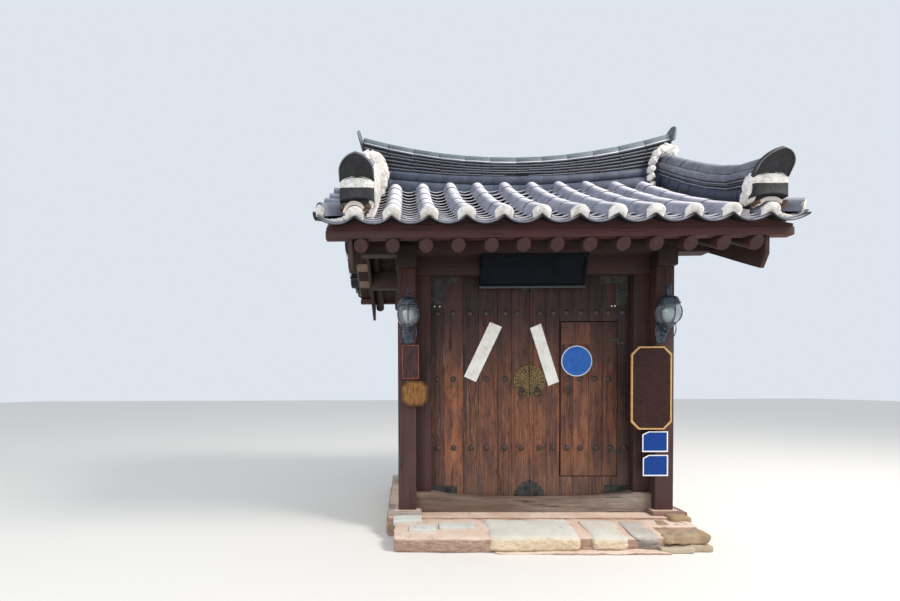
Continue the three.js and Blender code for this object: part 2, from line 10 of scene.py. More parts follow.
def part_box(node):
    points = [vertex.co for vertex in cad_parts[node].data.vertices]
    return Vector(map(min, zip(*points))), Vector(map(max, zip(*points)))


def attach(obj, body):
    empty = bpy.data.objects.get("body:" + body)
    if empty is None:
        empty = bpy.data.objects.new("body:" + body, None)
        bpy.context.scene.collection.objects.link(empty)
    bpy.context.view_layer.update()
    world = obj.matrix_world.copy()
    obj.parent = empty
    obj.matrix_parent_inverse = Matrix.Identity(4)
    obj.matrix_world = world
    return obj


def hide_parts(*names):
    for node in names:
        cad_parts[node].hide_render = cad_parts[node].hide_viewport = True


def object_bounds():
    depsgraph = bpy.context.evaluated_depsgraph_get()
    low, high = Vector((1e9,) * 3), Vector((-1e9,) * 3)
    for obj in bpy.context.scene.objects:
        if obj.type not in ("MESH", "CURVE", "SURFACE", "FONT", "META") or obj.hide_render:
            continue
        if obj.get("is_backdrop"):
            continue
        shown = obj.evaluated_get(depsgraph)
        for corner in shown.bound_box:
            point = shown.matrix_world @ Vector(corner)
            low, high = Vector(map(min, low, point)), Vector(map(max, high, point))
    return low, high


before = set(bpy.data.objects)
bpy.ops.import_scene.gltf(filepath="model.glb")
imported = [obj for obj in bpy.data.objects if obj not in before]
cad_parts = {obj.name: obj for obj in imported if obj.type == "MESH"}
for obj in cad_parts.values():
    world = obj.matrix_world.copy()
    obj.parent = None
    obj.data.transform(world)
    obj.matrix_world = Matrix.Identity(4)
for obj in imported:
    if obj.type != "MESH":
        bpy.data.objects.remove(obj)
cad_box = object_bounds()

scene = bpy.context.scene


# Viewpoint and daylight. The camera stands in the street at eye height, a little left of the middle of the gate,
# with a wide lens. Light is an even bright sky with a soft sun in front, and the floor is a plain pale sheet.
camera = bpy.data.objects.new("street_view", bpy.data.cameras.new("street_view"))
camera.data.lens = 17.369
camera.data.shift_x = 0.056
camera.data.shift_y = 0.1039
camera.data.clip_start = 0.05
camera.matrix_world = (
    Matrix.Translation((-1.2207, -4.9149, 1.3861))
    @ Matrix.Rotation(math.radians(0.855), 4, "Z")
    @ Matrix.Rotation(math.radians(-0.965), 4, "X")
    @ Matrix.Rotation(math.radians(0.24), 4, "Y")
    @ Matrix.Rotation(math.radians(90), 4, "X")
)
scene.collection.objects.link(camera)
scene.camera = camera


def softbox(name, place, aim, size, power, colour):
    lamp = bpy.data.lights.new(name, "AREA")
    lamp.shape, lamp.size, lamp.energy, lamp.color = "DISK", size, power, colour
    holder = bpy.data.objects.new(name, lamp)
    toward = Vector(aim) - Vector(place)
    holder.matrix_world = Matrix.Translation(place) @ toward.to_track_quat("-Z", "Y").to_matrix().to_4x4()
    scene.collection.objects.link(holder)


softbox("soft_sun", (6.5, -4.5, 9.0), (0, 0, 1.8), 3.5, 1150, (1.0, 0.96, 0.9))
softbox("sky_left", (-6.0, -7.0, 4.0), (0, 0, 1.4), 5.0, 180, (0.86, 0.93, 1.0))
sky = bpy.data.worlds.new("pale_sky")
sky.use_nodes = True
sky.node_tree.nodes["Background"].inputs["Color"].default_value = (0.86, 0.92, 1.0, 1)
sky.node_tree.nodes["Background"].inputs["Strength"].default_value = 0.85
scene.world = sky
scene.view_settings.view_transform = "Standard"


def shade(red, green, blue):
    """A colour given as it looks on a screen, from 0 to 255, in the scene's linear light."""
    shares = [c / 255 for c in (red, green, blue)]
    return tuple(c / 12.92 if c < 0.0404 else ((c + 0.055) / 1.055) ** 2.4 for c in shares) + (1,)


def new_finish(name):
    """A material, with its node tree and the sockets of its principled shader."""
    material = bpy.data.materials.new(name)
    material.use_nodes = True
    return material, material.node_tree, material.node_tree.nodes["Principled BSDF"].inputs


floor_paint, tree, sockets = new_finish("pale_floor")
sockets["Base Color"].default_value = shade(226, 222, 216)
sockets["Roughness"].default_value = 0.85
floor_mesh = bpy.data.meshes.new("floor")
floor_mesh.from_pydata([(-40, -40, 0), (40, -40, 0), (40, 40, 0), (-40, 40, 0)], [], [(0, 1, 2, 3)])
floor_mesh.materials.append(floor_paint)
floor = bpy.data.objects.new("floor", floor_mesh)
scene.collection.objects.link(floor)
floor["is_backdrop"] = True


# The plinth: field stones in pink-brown lime mortar that lift the timber off the wet ground.
# Flat stones stand along its sides, and a squarer one lies under each post.
class Value:
    """What a node gives out. Values can be added, taken away, multiplied and divided."""

    def __init__(self, socket):
        self.socket = socket

    def __add__(self, other):
        return maths("ADD", self, other)

    def __sub__(self, other):
        return maths("SUBTRACT", self, other)

    def __rsub__(self, other):
        return maths("SUBTRACT", other, self)

    def __mul__(self, other):
        return maths("MULTIPLY", self, other)

    def __truediv__(self, other):
        return maths("DIVIDE", self, other)


def put(kind, inputs, out=0, tree=None, **settings):
    """Adds a node with its settings, fills or links its inputs, and gives back one of its outputs."""
    tree = tree or next(value for value in inputs.values() if isinstance(value, Value)).socket.id_data
    node = tree.nodes.new(kind)
    for key, value in settings.items():
        setattr(node, key, value)
    for key, value in inputs.items():
        if isinstance(value, Value):
            tree.links.new(value.socket, node.inputs[key])
        else:
            node.inputs[key].default_value = value
    return Value(node.outputs[out]) if node.outputs else node


def maths(how, *values):
    return put("ShaderNodeMath", dict(enumerate(values)), operation=how)


def placed(tree, out="Object"):
    """The object's own coordinates, or another output of the same node."""
    return put("ShaderNodeTexCoord", {}, out, tree)


def attribute(tree, name):
    return put("ShaderNodeAttribute", {}, "Fac", tree, attribute_name=name)


def axis_of(vector, axis):
    return put("ShaderNodeSeparateXYZ", {0: vector}, axis)


def scaled(coords, *scale):
    return put("ShaderNodeMapping", {"Vector": coords, "Scale": scale})


def grain(coords, scale, detail=4.0, rough=0.55, twist=0.0):
    inputs = {"Vector": coords, "Scale": scale, "Detail": detail, "Roughness": rough, "Distortion": twist}
    return put("ShaderNodeTexNoise", inputs, "Fac")


def ramp(value, low, high, start=0.0, end=1.0):
    inputs = {"Value": value, "From Min": low, "From Max": high, "To Min": start, "To Max": end}
    return put("ShaderNodeMapRange", inputs)


def mixed(factor, first, second):
    """Two colours mixed. Each is a value or a screen colour."""
    first, second = (c if isinstance(c, Value) else shade(*c) for c in (first, second))
    return put("ShaderNodeMix", {0: factor, 6: first, 7: second}, 2, data_type="RGBA")


def coated(sockets, colour, roughness, height, relief, **constants):
    """Closes a finish: its colour, its roughness, the relief of its skin, and constants for other sockets."""
    named = {"Base Color": colour, "Roughness": roughness}
    if relief:
        named["Normal"] = put("ShaderNodeBump", {"Height": height, "Distance": relief, "Strength": 1.0})
    named.update({key.replace("_", " "): value for key, value in constants.items()})
    for key, value in named.items():
        if isinstance(value, Value):
            value.socket.id_data.links.new(value.socket, sockets[key])
        else:
            sockets[key].default_value = value


def arrays(bm):
    """The corners and faces of a bmesh, which is then freed."""
    bm.verts.index_update()
    points = np.array([v.co[:] for v in bm.verts])
    faces = [[v.index for v in f.verts] for f in bm.faces]
    bm.free()
    return points, faces


def facing_out(points, faces):
    """The faces of a closed solid, turned over if they look inward."""
    corners = np.array([(f[0], f[i], f[i + 1]) for f in faces for i in range(1, len(f) - 1)])
    a, b, c = (points[corners[:, k], :3] for k in range(3))
    return faces if np.einsum("ij,ij->", a, np.cross(b, c)) > 0 else [f[::-1] for f in faces]


def joined(name, parts, finish):
    """One mesh from closed parts, each (points, faces) or (points, faces, tone). The tone is kept as an attribute,
    and so is a fourth number of the points, which paints a highlight on edges above 0, and shade under and between
    tiles and dark joints below 0."""
    points, faces, tones, start = [], [], [], 0
    for part_points, part_faces, *tone in parts:
        points.append(part_points)
        faces += [[start + i for i in face] for face in facing_out(part_points, part_faces)]
        tones.append(np.full(len(part_points), tone[0] if tone else 0.0))
        start += len(part_points)
    points = np.concatenate(points)
    mesh = bpy.data.meshes.new(name)
    mesh.from_pydata(points[:, :3].tolist(), [], faces)
    mesh.attributes.new("tone", "FLOAT", "POINT").data.foreach_set("value", np.concatenate(tones))
    if points.shape[1] == 4:
        mesh.attributes.new("painted_light_and_joints", "FLOAT", "POINT").data.foreach_set("value", points[:, 3].copy())
    mesh.shade_smooth()
    mesh.set_sharp_from_angle(angle=math.radians(38))
    mesh.materials.append(finish)
    return mesh


def piece(name, parts, finish, body="building", replaces=()):
    """A finished piece of the gatehouse that moves with a body. Its parts are given, or its mesh."""
    mesh = parts if isinstance(parts, bpy.types.Mesh) else joined(name, parts, finish)
    made = bpy.data.objects.new(name, mesh)
    mesh.name = name
    scene.collection.objects.link(made)
    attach(made, body)
    if replaces:
        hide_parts(*replaces)


def turned(angle, axis):
    return Matrix.Rotation(angle, 4, axis)


def moved(part, place=(0, 0, 0), turn=None):
    points = np.array(part[0])
    if turn is not None:
        points[:, :3] = points[:, :3] @ np.array(turn.to_3x3()).T
    points[:, :3] += place
    return (points, *part[1:])


def above_floor(points):
    return np.maximum(points, [-9, -9, 0.001])


def stone(low, high, seed, rounding=0.25, rough=0.012, cuts=6):
    """A rough stone that fills a box, with worn edges and an uneven face."""
    bm = bmesh.new()
    bmesh.ops.create_cube(bm, size=2)
    bmesh.ops.subdivide_edges(bm, edges=bm.edges[:], cuts=cuts, use_grid_fill=True)
    middle = (Vector(low) + Vector(high)) / 2
    half = (Vector(high) - Vector(low)) / 2
    radius = rounding * min(half)
    for v in bm.verts:
        p = Vector((v.co.x * half.x, v.co.y * half.y, v.co.z * half.z))
        core = Vector([max(-h + radius, min(h - radius, c)) for c, h in zip(p, half)])
        away = p - core
        if away.length > 1e-6:
            p = core + away.normalized() * min(radius, away.length)
        q = p * 7 + Vector((seed * 3.7, seed * 1.3, seed * 2.1))
        p += noise.noise_vector(q * 0.6) * rough * 1.2 + noise.noise_vector(q * 2.6) * rough * 0.45
        v.co = middle + p
    return arrays(bm)


def rock_finish(name, pale, warm, dark, grains=60, relief=0.004, upright=None):
    """Quarried or field stone: mottled, with dark specks, stains and a pitted surface.
    The upright faces may have a pair of colours of their own."""
    material, tree, sockets = new_finish(name)
    coords = placed(tree)
    clouds = grain(coords, 4.0, 5, 0.6)
    pits = grain(coords, grains, 6, 0.65)
    colour = mixed(ramp(clouds + attribute(tree, "tone"), 0.3, 0.72), warm, pale)
    if upright:
        up = axis_of(put("ShaderNodeNewGeometry", {}, "Normal", tree), "Z")
        layers = grain(scaled(coords, 1, 1, 3.5), 16.0, 5, 0.65)
        colour = mixed(ramp(up + clouds * 0.25, 0.45, 0.95), mixed(ramp(layers, 0.36, 0.64), *upright), colour)
    colour = mixed(ramp(grain(coords, grains * 5, 3, 0.7), 0.56, 0.68, 0.0, 0.55), colour, dark)
    stains = grain(scaled(coords, 1, 1, 0.5), 9.0, 6, 0.7)
    colour = mixed(ramp(stains, 0.56, 0.72, 0.0, 0.6), colour, dark)
    coated(sockets, colour, ramp(pits, 0.3, 0.7, 0.75, 0.98), pits + clouds, relief)
    return material


mortar = rock_finish("earth_mortar", (222, 204, 188), (200, 166, 144), (140, 118, 104), 40, 0.006,
                     ((140, 112, 98), (190, 156, 136)))
field_stone = rock_finish("field_stone", (186, 172, 150), (158, 132, 102), (96, 84, 72), 26, 0.010)
base_stone = rock_finish("base_stone", (184, 180, 168), (134, 102, 90), (78, 70, 64), 26, 0.009)
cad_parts["plinth"].data.materials[0] = mortar
dice = random.Random(4)
noise.seed_set(4)  # noise_vector starts from the clock unless it is seeded
rubble = []


def line_of_stones(start, end, outward, first_seed):
    """Stones set side by side along one side of the plinth, as a lower and an upper course."""
    along = Vector(end) - Vector(start)
    reach = along.length
    along.normalize()
    for course, (z0, z1) in enumerate(((0.004, 0.092), (0.086, 0.166))):
        at = 0.02 + course * 0.09
        while at < reach - 0.12:
            width = min(dice.uniform(0.14, 0.34), reach - 0.02 - at)
            part = stone((0, -0.10, z0), (width - 0.012, 0.022, z1), first_seed + at * 5 + course, 0.5, 0.010, 5)
            facing = Matrix(((along.x, outward[0], 0), (along.y, outward[1], 0), (0, 0, 1)))
            points, faces = moved(part, (*(Vector(start) + along * at), 0), facing)
            rubble.append((above_floor(points), faces, dice.uniform(-0.25, 0.2)))
            at += width


SIDE_OUT, BACK_OUT = 1.39, 1.05
line_of_stones((SIDE_OUT, -0.90), (SIDE_OUT, 0.99), (1, 0), 3)
line_of_stones((-SIDE_OUT, 0.99), (-SIDE_OUT, -0.90), (-1, 0), 7)
line_of_stones((1.33, BACK_OUT), (-1.33, BACK_OUT), (0, 1), 11)
piece("plinth_stones", rubble, field_stone)
pads = []
for x0, x1, tone in ((-1.40, -1.075, 0.1), (1.075, 1.40, -0.3)):
    for y0, y1 in ((-0.86, -0.56), (0.56, 0.86)):
        points, faces = stone((x0, y0, 0.13), (x1, y1, 0.2105), x0 * 3 + y0, 0.35, 0.006, 7)
        pads.append((np.minimum(points, [9, 9, 0.2115]), faces, tone))
piece("post_stones", pads, base_stone)


# The step before the gate: three long granite slabs and a patch of mortar with flat stones let into it,
# on a low ledge of mortar, with field stones packed at its right end. Feet and rain have rounded its front.
STEP_FRONT, STEP_WEAR = -1.32, 0.36


def step_stone(low, high, seed, rounding, rough, cuts, tone, top=9.0, fall=0.0):
    """A stone of the step, its top worn down to one level and its front edge lowered by a fall."""
    points, faces = stone(low, high, seed, rounding, rough, cuts)
    points[:, 2] = np.where(points[:, 2] > top, top + (points[:, 2] - top) * 0.25, points[:, 2])
    near = np.clip((STEP_FRONT + STEP_WEAR - points[:, 1]) / STEP_WEAR, 0, 1)
    points[:, 2] -= fall * near ** 1.7 * np.clip(points[:, 2] / 0.16, 0, 1)
    return above_floor(points), faces, tone


granite = rock_finish("split_granite", (212, 210, 200), (202, 192, 178), (140, 134, 124), 70, 0.007,
                      ((196, 168, 132), (226, 210, 184)))
grey_granite = rock_finish("grey_granite", (196, 192, 186), (176, 160, 148), (104, 98, 92), 60, 0.007,
                           ((112, 102, 96), (164, 152, 142)))
pale_stone = rock_finish("pale_stone", (206, 208, 200), (182, 174, 164), (124, 120, 112), 30, 0.008)
piece("step_mortar", [step_stone(*row) for row in (
    ((-1.325, -1.318, -0.01), (-0.50, -0.905, 0.168), 5.1, 0.40, 0.016, 16, 0.05, 0.160, 0.045),
    ((-0.56, -1.290, -0.01), (0.94, -0.905, 0.166), 6.3, 0.30, 0.012, 18, 0.0, 0.160, 0.055),
    ((0.86, -1.10, 0.02), (1.33, -0.905, 0.163), 6.9, 0.35, 0.012, 10, 0.1, 0.157, 0.045),
    ((-0.50, -1.350, -0.02), (0.30, -1.15, 0.020), 7.7, 0.7, 0.018, 18, 0.15, 9.0, 0.045),
    ((0.18, -1.362, -0.02), (0.96, -1.15, 0.030), 8.7, 0.7, 0.020, 18, 0.1, 9.0, 0.045),
)], mortar, replaces=("doorstep",))
piece("step_slabs", [step_stone(*row) for row in (
    ((-0.530, -1.322, 0.008), (0.241, -0.930, 0.177), 1.0, 0.60, 0.018, 22, 0.12, 0.171, 0.045),
    ((0.317, -1.314, 0.010), (0.638, -0.955, 0.177), 2.0, 0.60, 0.018, 18, -0.05, 0.170, 0.045),
)], granite)
grey_slab = step_stone((0.654, -1.296, 0.012), (0.910, -0.975, 0.173), 3.0, 0.60, 0.018, 16, 0.05, 0.167, 0.045)
piece("step_grey_slab", [grey_slab], grey_granite)
piece("step_flat_stones", [step_stone(*row) for row in (
    ((-0.93, -1.16, 0.13), (-0.62, -1.03, 0.170), 4.0, 0.5, 0.008, 7, 0.2, 0.166),
    ((-1.20, -1.21, 0.12), (-0.96, -1.09, 0.166), 5.0, 0.5, 0.008, 6, 0.25, 0.163),
    ((-1.34, -1.02, 0.12), (-1.08, -0.84, 0.184), 6.0, 0.5, 0.008, 7, 0.3, 0.180),
)], pale_stone)
piece("step_packing", [step_stone(*row) for row in (
    ((0.930, -1.290, 0.044), (1.325, -1.06, 0.142), 21.0, 0.60, 0.032, 16, -0.1),
    ((0.880, -1.330, 0.002), (1.150, -1.15, 0.050), 22.0, 0.5, 0.012, 8, 0.15),
    ((0.99, -1.08, 0.05), (1.30, -0.93, 0.160), 23.0, 0.5, 0.012, 6, -0.2),
    ((1.13, -1.30, 0.002), (1.33, -1.18, 0.055), 24.0, 0.5, 0.010, 5, 0.1),
    ((1.18, -0.97, 0.06), (1.36, -0.83, 0.195), 25.0, 0.4, 0.010, 6, -0.5),
)], field_stone)


# Posts: square pine timbers planed by hand, stained dark red-brown, checked along the grain
# and bleached a little where rain reaches them.
def timber_finish(name, axis, dark, light, weathered, relief=0.0025, weather=0.35, cracks=0.6, daub=None):
    """Old stained pine. The grain runs along one axis of the object: 0, 1 or 2. Sawn ends may be daubed with a
    paint of two colours."""
    material, tree, sockets = new_finish(name)
    coords, tone = placed(tree), attribute(tree, "tone")
    shift = put("ShaderNodeCombineXYZ", {k: tone * 7.0 for k in range(3)})
    local = put("ShaderNodeVectorMath", {0: coords, 1: shift}, operation="ADD")
    drawn, slow, long = (
        scaled(local, *(share if k == axis else 1.0 for k in range(3))) for share in (0.07, 0.35, 0.03)
    )
    fibres = grain(drawn, 95.0, 5, 0.65)
    rings = grain(drawn, 17.0, 4, 0.55, 0.8)
    colour = mixed(ramp(rings * 0.55 + fibres * 0.45 + tone * 0.35, 0.33, 0.68), dark, light)
    grey = ramp(grain(slow, 2.6, 4, 0.6), 0.42, 0.75, 0.0, weather) * ramp(fibres, 0.35, 0.65, 0.4, 1.0)
    colour = mixed(grey, colour, weathered)
    line = maths("ABSOLUTE", grain(long, 11.0, 3, 0.5) - 0.5)
    split = ramp(line, 0.0, 0.012, 1.0, 0.0) * ramp(grain(slow, 3.1, 2), 0.5, 0.56)
    colour = mixed(split * cracks, colour, (20, 13, 11))
    if daub:
        colour = mixed(attribute(tree, "end_grain"), colour, mixed(grain(coords, 30.0, 4), *daub))
    coated(sockets, colour, ramp(fibres, 0.3, 0.7, 0.58, 0.86), fibres + rings - split * 2.0, relief)
    return material


post_wood = timber_finish("post_timber", 2, (38, 22, 21), (78, 42, 37), (108, 84, 72))
# Beams, rails and boards under the roof take a darker copy of the post timber, as painted shade under the eave.
shaded_beam_wood, shaded_cross_wood = (
    timber_finish(name, axis, (27, 15, 17), (62, 33, 32), (86, 66, 60))
    for name, axis in (("shaded_beam_timber", 0), ("shaded_cross_timber", 1))
)


def cut_across(bm, start, axis, spacing, count):
    """Cuts a mesh into lengths by planes at even spacing, and splits what has more than four corners."""
    for k in range(1, count):
        point, normal = Vector(start), Vector()
        point[axis] += k * spacing
        normal[axis] = 1
        geometry = bm.verts[:] + bm.edges[:] + bm.faces[:]
        bmesh.ops.bisect_plane(bm, geom=geometry, plane_co=point, plane_no=normal)


def hewn(node, finish, edge=0.006, wander=0.0025, spacing=0.16, tone=0.0):
    """A timber with eased edges and the slight waver of hand work, in place of its plain solid."""
    bm = bmesh.new()
    bm.from_mesh(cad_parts[node].data)
    bmesh.ops.remove_doubles(bm, verts=bm.verts[:], dist=1e-5)
    bmesh.ops.dissolve_limit(bm, angle_limit=math.radians(1), verts=bm.verts[:], edges=bm.edges[:])
    sharp = [e for e in bm.edges if e.is_manifold and e.calc_face_angle(0) > math.radians(30)]
    bmesh.ops.bevel(bm, geom=sharp, offset=edge, segments=2, profile=0.6, affect="EDGES", clamp_overlap=True)
    low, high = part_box(node)
    reach = [h - l for l, h in zip(low, high)]
    axis = reach.index(max(reach))
    cut_across(bm, low, axis, spacing, int(reach[axis] / spacing))
    bmesh.ops.triangulate(bm, faces=[f for f in bm.faces if len(f.verts) > 4])
    for v in bm.verts:
        v.co += noise.noise_vector(v.co * 2.3) * wander
    bmesh.ops.recalc_face_normals(bm, faces=bm.faces[:])
    piece(node + "_timber", [arrays(bm) + (tone,)], finish, replaces=(node,))


for end in ("front", "rear"):
    for side, tone in (("left", 0.1), ("right", -0.1)):
        hewn(f"post_{end}_{side}", post_wood, edge=0.009, tone=tone)


# The doorway: a naturally bent log as threshold, its hollow worn grey by feet, two jambs, and the lintel.
# They are pegged between the posts. The tie beam at the rear matches the lintel.
sill_wood = timber_finish("threshold_timber", 0, (74, 58, 50), (128, 102, 88), (166, 154, 142), 0.005, 1.0, 0.9)
hewn("threshold", sill_wood, edge=0.012, wander=0.004, spacing=0.1)
hewn("jamb_left", post_wood, edge=0.005)
hewn("jamb_right", post_wood, edge=0.005, tone=-0.15)
hewn("lintel", shaded_beam_wood)
hewn("rear_tie_beam", shaded_beam_wood)


# Side walls: lime plaster on a wattle core between the posts, with a rail halfway up.
# The same plaster closes the two gables. Rain has streaked it and its foot is splashed with earth.
plaster, tree, sockets = new_finish("lime_plaster")
coords = placed(tree)
trowel = grain(scaled(coords, 1, 1, 2.5), 12.0, 4, 0.55, 0.6)
streaks = grain(scaled(coords, 1, 1, 0.12), 24.0, 4, 0.6)
colour = mixed(ramp(grain(coords, 3.0, 5, 0.6), 0.35, 0.7), (222, 214, 198), (236, 231, 220))
colour = mixed(ramp(streaks, 0.55, 0.75, 0.0, 0.35), colour, (168, 158, 142))
splash = ramp(axis_of(coords, "Z"), 0.2, 0.75, 0.75, 0.0) * ramp(trowel, 0.3, 0.7)
coated(sockets, mixed(splash, colour, (160, 130, 106)), 0.93, grain(coords, 260.0, 2, 0.6) + trowel * 3.0, 0.003)
for side in ("left", "right"):
    for node in (f"side_wall_lower_{side}", f"side_wall_upper_{side}", f"gable_panel_{side}"):
        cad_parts[node].data.materials[0] = plaster
    hewn(f"side_rail_{side}", shaded_cross_wood, edge=0.005)


# Roof frame: crossbeams with heads that project in front, purlins notched over them,
# short king posts and the ridge purlin, all hewn from whole trunks.
for side in ("left", "right"):
    hewn(f"crossbeam_{side}", shaded_cross_wood, edge=0.010, tone=-0.2)
    hewn(f"king_post_{side}", post_wood)
for node in ("front_purlin", "rear_purlin", "ridge_purlin"):
    hewn(node, shaded_beam_wood, edge=0.012, tone=-0.1)


# Rafters: peeled round poles with red-painted ends, laid down each slope at even spacing.
# Sawn boards are nailed across them and carry the clay.
def new_layout(name, **sizes):
    """A layout tree with the sizes as its named inputs. Gives back the tree and a dictionary of its inputs."""
    tree = bpy.data.node_groups.new(name, "GeometryNodeTree")
    sizes = {"geometry": "Geometry", **sizes, "rear": 0.0, "seed": 1, "finish": "Material"}
    tree.interface.new_socket("Geometry", in_out="OUTPUT", socket_type="NodeSocketGeometry")
    for key, value in sizes.items():
        kind = value if isinstance(value, str) else {int: "Int", float: "Float"}[type(value)]
        socket = tree.interface.new_socket(key, in_out="INPUT", socket_type="NodeSocket" + kind)
        if kind != value:
            socket.default_value = value
    outputs = tree.nodes.new("NodeGroupInput").outputs
    return tree, {key: Value(outputs[key]) for key in sizes}


def laid(name, tree, model, finish, rear=0, body="building", replaces=(), **sizes):
    """Runs a layout tree on a model mesh and keeps the result as a plain piece."""
    carrier = bpy.data.objects.new(name + "_layout", model)
    scene.collection.objects.link(carrier)
    modifier = carrier.modifiers.new("layout", "NODES")
    modifier.node_group = tree
    sizes.update(finish=finish, rear=float(rear))
    for item in tree.interface.items_tree:
        if item.in_out == "INPUT" and item.name in sizes:
            modifier[item.identifier] = sizes[item.name]
    depsgraph = bpy.context.evaluated_depsgraph_get()
    mesh = bpy.data.meshes.new_from_object(carrier.evaluated_get(depsgraph), depsgraph=depsgraph)
    bpy.data.objects.remove(carrier)
    piece(name, mesh, finish, body, replaces)


def combined(x=0.0, y=0.0, z=0.0):
    return put("ShaderNodeCombineXYZ", {0: x, 1: y, 2: z})


def rank(tree, count):
    """The number of a point in its row, counted from the middle of the row, and its plain index."""
    index = put("GeometryNodeInputIndex", {}, tree=tree)
    return index - (count - 1.0) * 0.5, index


def random_value(low, high, seed, out=1, kind="FLOAT"):
    keys = (0, 1) if kind == "FLOAT_VECTOR" else (2, 3)
    return put("FunctionNodeRandomValue", {keys[0]: low, keys[1]: high, "Seed": seed}, out, data_type=kind)


def shaken(points, reach, seed):
    """Points moved a little at random, as far as a reach on each axis."""
    back = put("ShaderNodeVectorMath", {0: reach, "Scale": -1.0}, operation="SCALE")
    shake = random_value(back, reach, seed, 0, "FLOAT_VECTOR")
    return put("GeometryNodeSetPosition", {"Geometry": points, "Offset": shake})


def set_out(group, points, model, turn, scale=(1.0, 1.0, 1.0)):
    """Closes a layout: copies on points, a random tone each, made real, and turned over for the rear."""
    copies = put("GeometryNodeInstanceOnPoints", {
        "Points": points, "Instance": model, "Rotation": turn, "Scale": scale,
    })
    named = put("GeometryNodeStoreNamedAttribute", {
        "Geometry": copies, "Name": "tone", "Value": random_value(-0.5, 0.5, group["seed"]),
    }, data_type="FLOAT", domain="INSTANCE")
    real = put("GeometryNodeRealizeInstances", {"Geometry": named})
    over = put("GeometryNodeTransform", {"Geometry": real, "Rotation": combined(z=group["rear"] * math.pi)})
    painted = put("GeometryNodeSetMaterial", {"Geometry": over, "Material": group["finish"]})
    put("NodeGroupOutput", {0: painted})


RAFTER = {"count": 13, "spacing": 0.264, "end": 1.390, "height": 2.523, "rise": 0.5206}
RISE, SLANT = RAFTER["rise"], math.hypot(1, RAFTER["rise"])
rafter_layout, group = new_layout("rafters_down_a_slope", waver=0.006, **RAFTER)
across, _ = rank(rafter_layout, group["count"])
place = combined(across * group["spacing"], group["end"] * -1.0, group["height"])
points = put("GeometryNodePoints", {"Count": group["count"], "Position": place})
points = shaken(points, combined(group["waver"]), group["seed"])
set_out(group, points, group["geometry"], combined(maths("ARCTANGENT", group["rise"])))


def circle(steps):
    """Directions round a circle, as (cosine, sine)."""
    return [(math.cos(2 * math.pi * i / steps), math.sin(2 * math.pi * i / steps)) for i in range(steps)]


def drawn_through(sections, ends="faces", tip=None):
    """A solid drawn through a row of sections, each a list of points. Its ends are closed by faces, or by strips
    where a section runs out and back, or it is a loop. A tip closes the last end to a point."""
    n, count = len(sections[0]), len(sections)
    points = [p for section in sections for p in section]
    starts = [k * n for k in range(count)]
    pairs = zip(starts, starts[1:] + starts[:1]) if ends == "loop" else zip(starts, starts[1:])
    faces = [[a + i, a + (i + 1) % n, b + (i + 1) % n, b + i] for a, b in pairs for i in range(n)]
    first, last = list(range(n))[::-1], [starts[-1] + i for i in range(n)]
    if tip:
        faces += [first] + [[last[i], last[(i + 1) % n], len(points)] for i in range(n)]
        points.append(tip)
    elif ends == "strips":
        faces += [[end[i], end[i + 1], end[-2 - i], end[-1 - i]] for end in (first, last) for i in range(n // 2 - 1)]
    elif ends == "faces":
        faces += [first, last]
    return np.array(points), faces


def rafter_pole(length, radius, sides=20, stations=9):
    """A peeled pole along +Y, a little uneven, its lower end dished by the saw."""
    sections = []
    for k in range(stations):
        y = length * k / (stations - 1)
        swell = [1 + 0.035 * noise.noise(Vector((c, s, y * 2.2))) for c, s in circle(sides)]
        sections.append([(radius * w * c, y, radius * w * s) for w, (c, s) in zip(swell, circle(sides))])
    dished = [(x * 0.93, y - 0.004, z * 0.93) for x, y, z in sections[0]]
    mesh = joined("rafter", [drawn_through(sections[::-1] + [dished], tip=(0, -0.004, 0))], rafter_wood)
    ends = [float(abs(p.co.y) < 0.0045) for p in mesh.vertices]
    mesh.attributes.new("end_grain", "FLOAT", "POINT").data.foreach_set("value", ends)
    return mesh


rafter_wood = timber_finish("rafter_timber", 1, (34, 19, 18), (66, 38, 33), (84, 64, 56), 0.002, 0.15, 0.4,
                            ((34, 15, 17), (72, 36, 35)))
for rear, side in enumerate(("front", "rear")):
    pole = rafter_pole(1.36 * SLANT, 0.0565)
    laid(f"{side}_rafter_poles", rafter_layout, pole, rafter_wood, rear, replaces=(f"{side}_rafters",), seed=3 + rear)


def block(low, high, edge=0.003, steps=1, tone=0.0):
    """A sawn piece with its edges eased."""
    bm = bmesh.new()
    bmesh.ops.create_cube(bm, size=1)
    for v in bm.verts:
        v.co = Vector([(h + l) / 2 + c * (h - l) for l, h, c in zip(low, high, v.co)])
    bmesh.ops.bevel(bm, geom=bm.edges[:], offset=edge, segments=steps, profile=0.5, affect="EDGES")
    return arrays(bm) + (tone,)


def rafter_over(s):
    """Height of the top of the rafters at a distance from the ridge."""
    return RAFTER["height"] + (RAFTER["end"] - s) * RISE + 0.057 * SLANT


BOARD_END = 1.648
for front, side in ((1, "front"), (-1, "rear")):
    boards = []
    dice = random.Random(8 + front)
    along = 0.004
    reach = 1.320 * SLANT
    tilt = turned(-math.atan(RISE), "X")
    while along < reach - 0.02:
        width = min(dice.uniform(0.10, 0.16), reach - along)
        joints = [-BOARD_END - 0.003, -0.53 + dice.uniform(-0.1, 0.1), 0.55 + dice.uniform(-0.1, 0.1), BOARD_END]
        for x0, x1 in zip(joints, joints[1:]):
            part = block((x0 + 0.003, along + 0.0015, -0.002), (x1, along + width - 0.0015, 0.024), 0.002)
            points, faces, _ = moved(part, (0, 0, rafter_over(0)), tilt)
            boards.append((points * [1, -front, 1], faces, dice.uniform(-0.4, 0.3)))
        along += width
    piece(f"{side}_roof_boards", boards, shaded_beam_wood)


# Eaves: a lath nailed along the rafter ends, and over it a board with hollows cut in its top
# that bed the lowest curved tiles. Both are stained red-brown.
ROOF = {"ridge_height": 3.682, "fall": 0.862, "sag": 0.18, "run": 1.48}
ROLL = 0.118
ROWS, ROW_PITCH = 12, 0.295
FIELD_HALF, EAVE_HALF = 1.7005, 1.86
EAVE_CURVE = 2.25


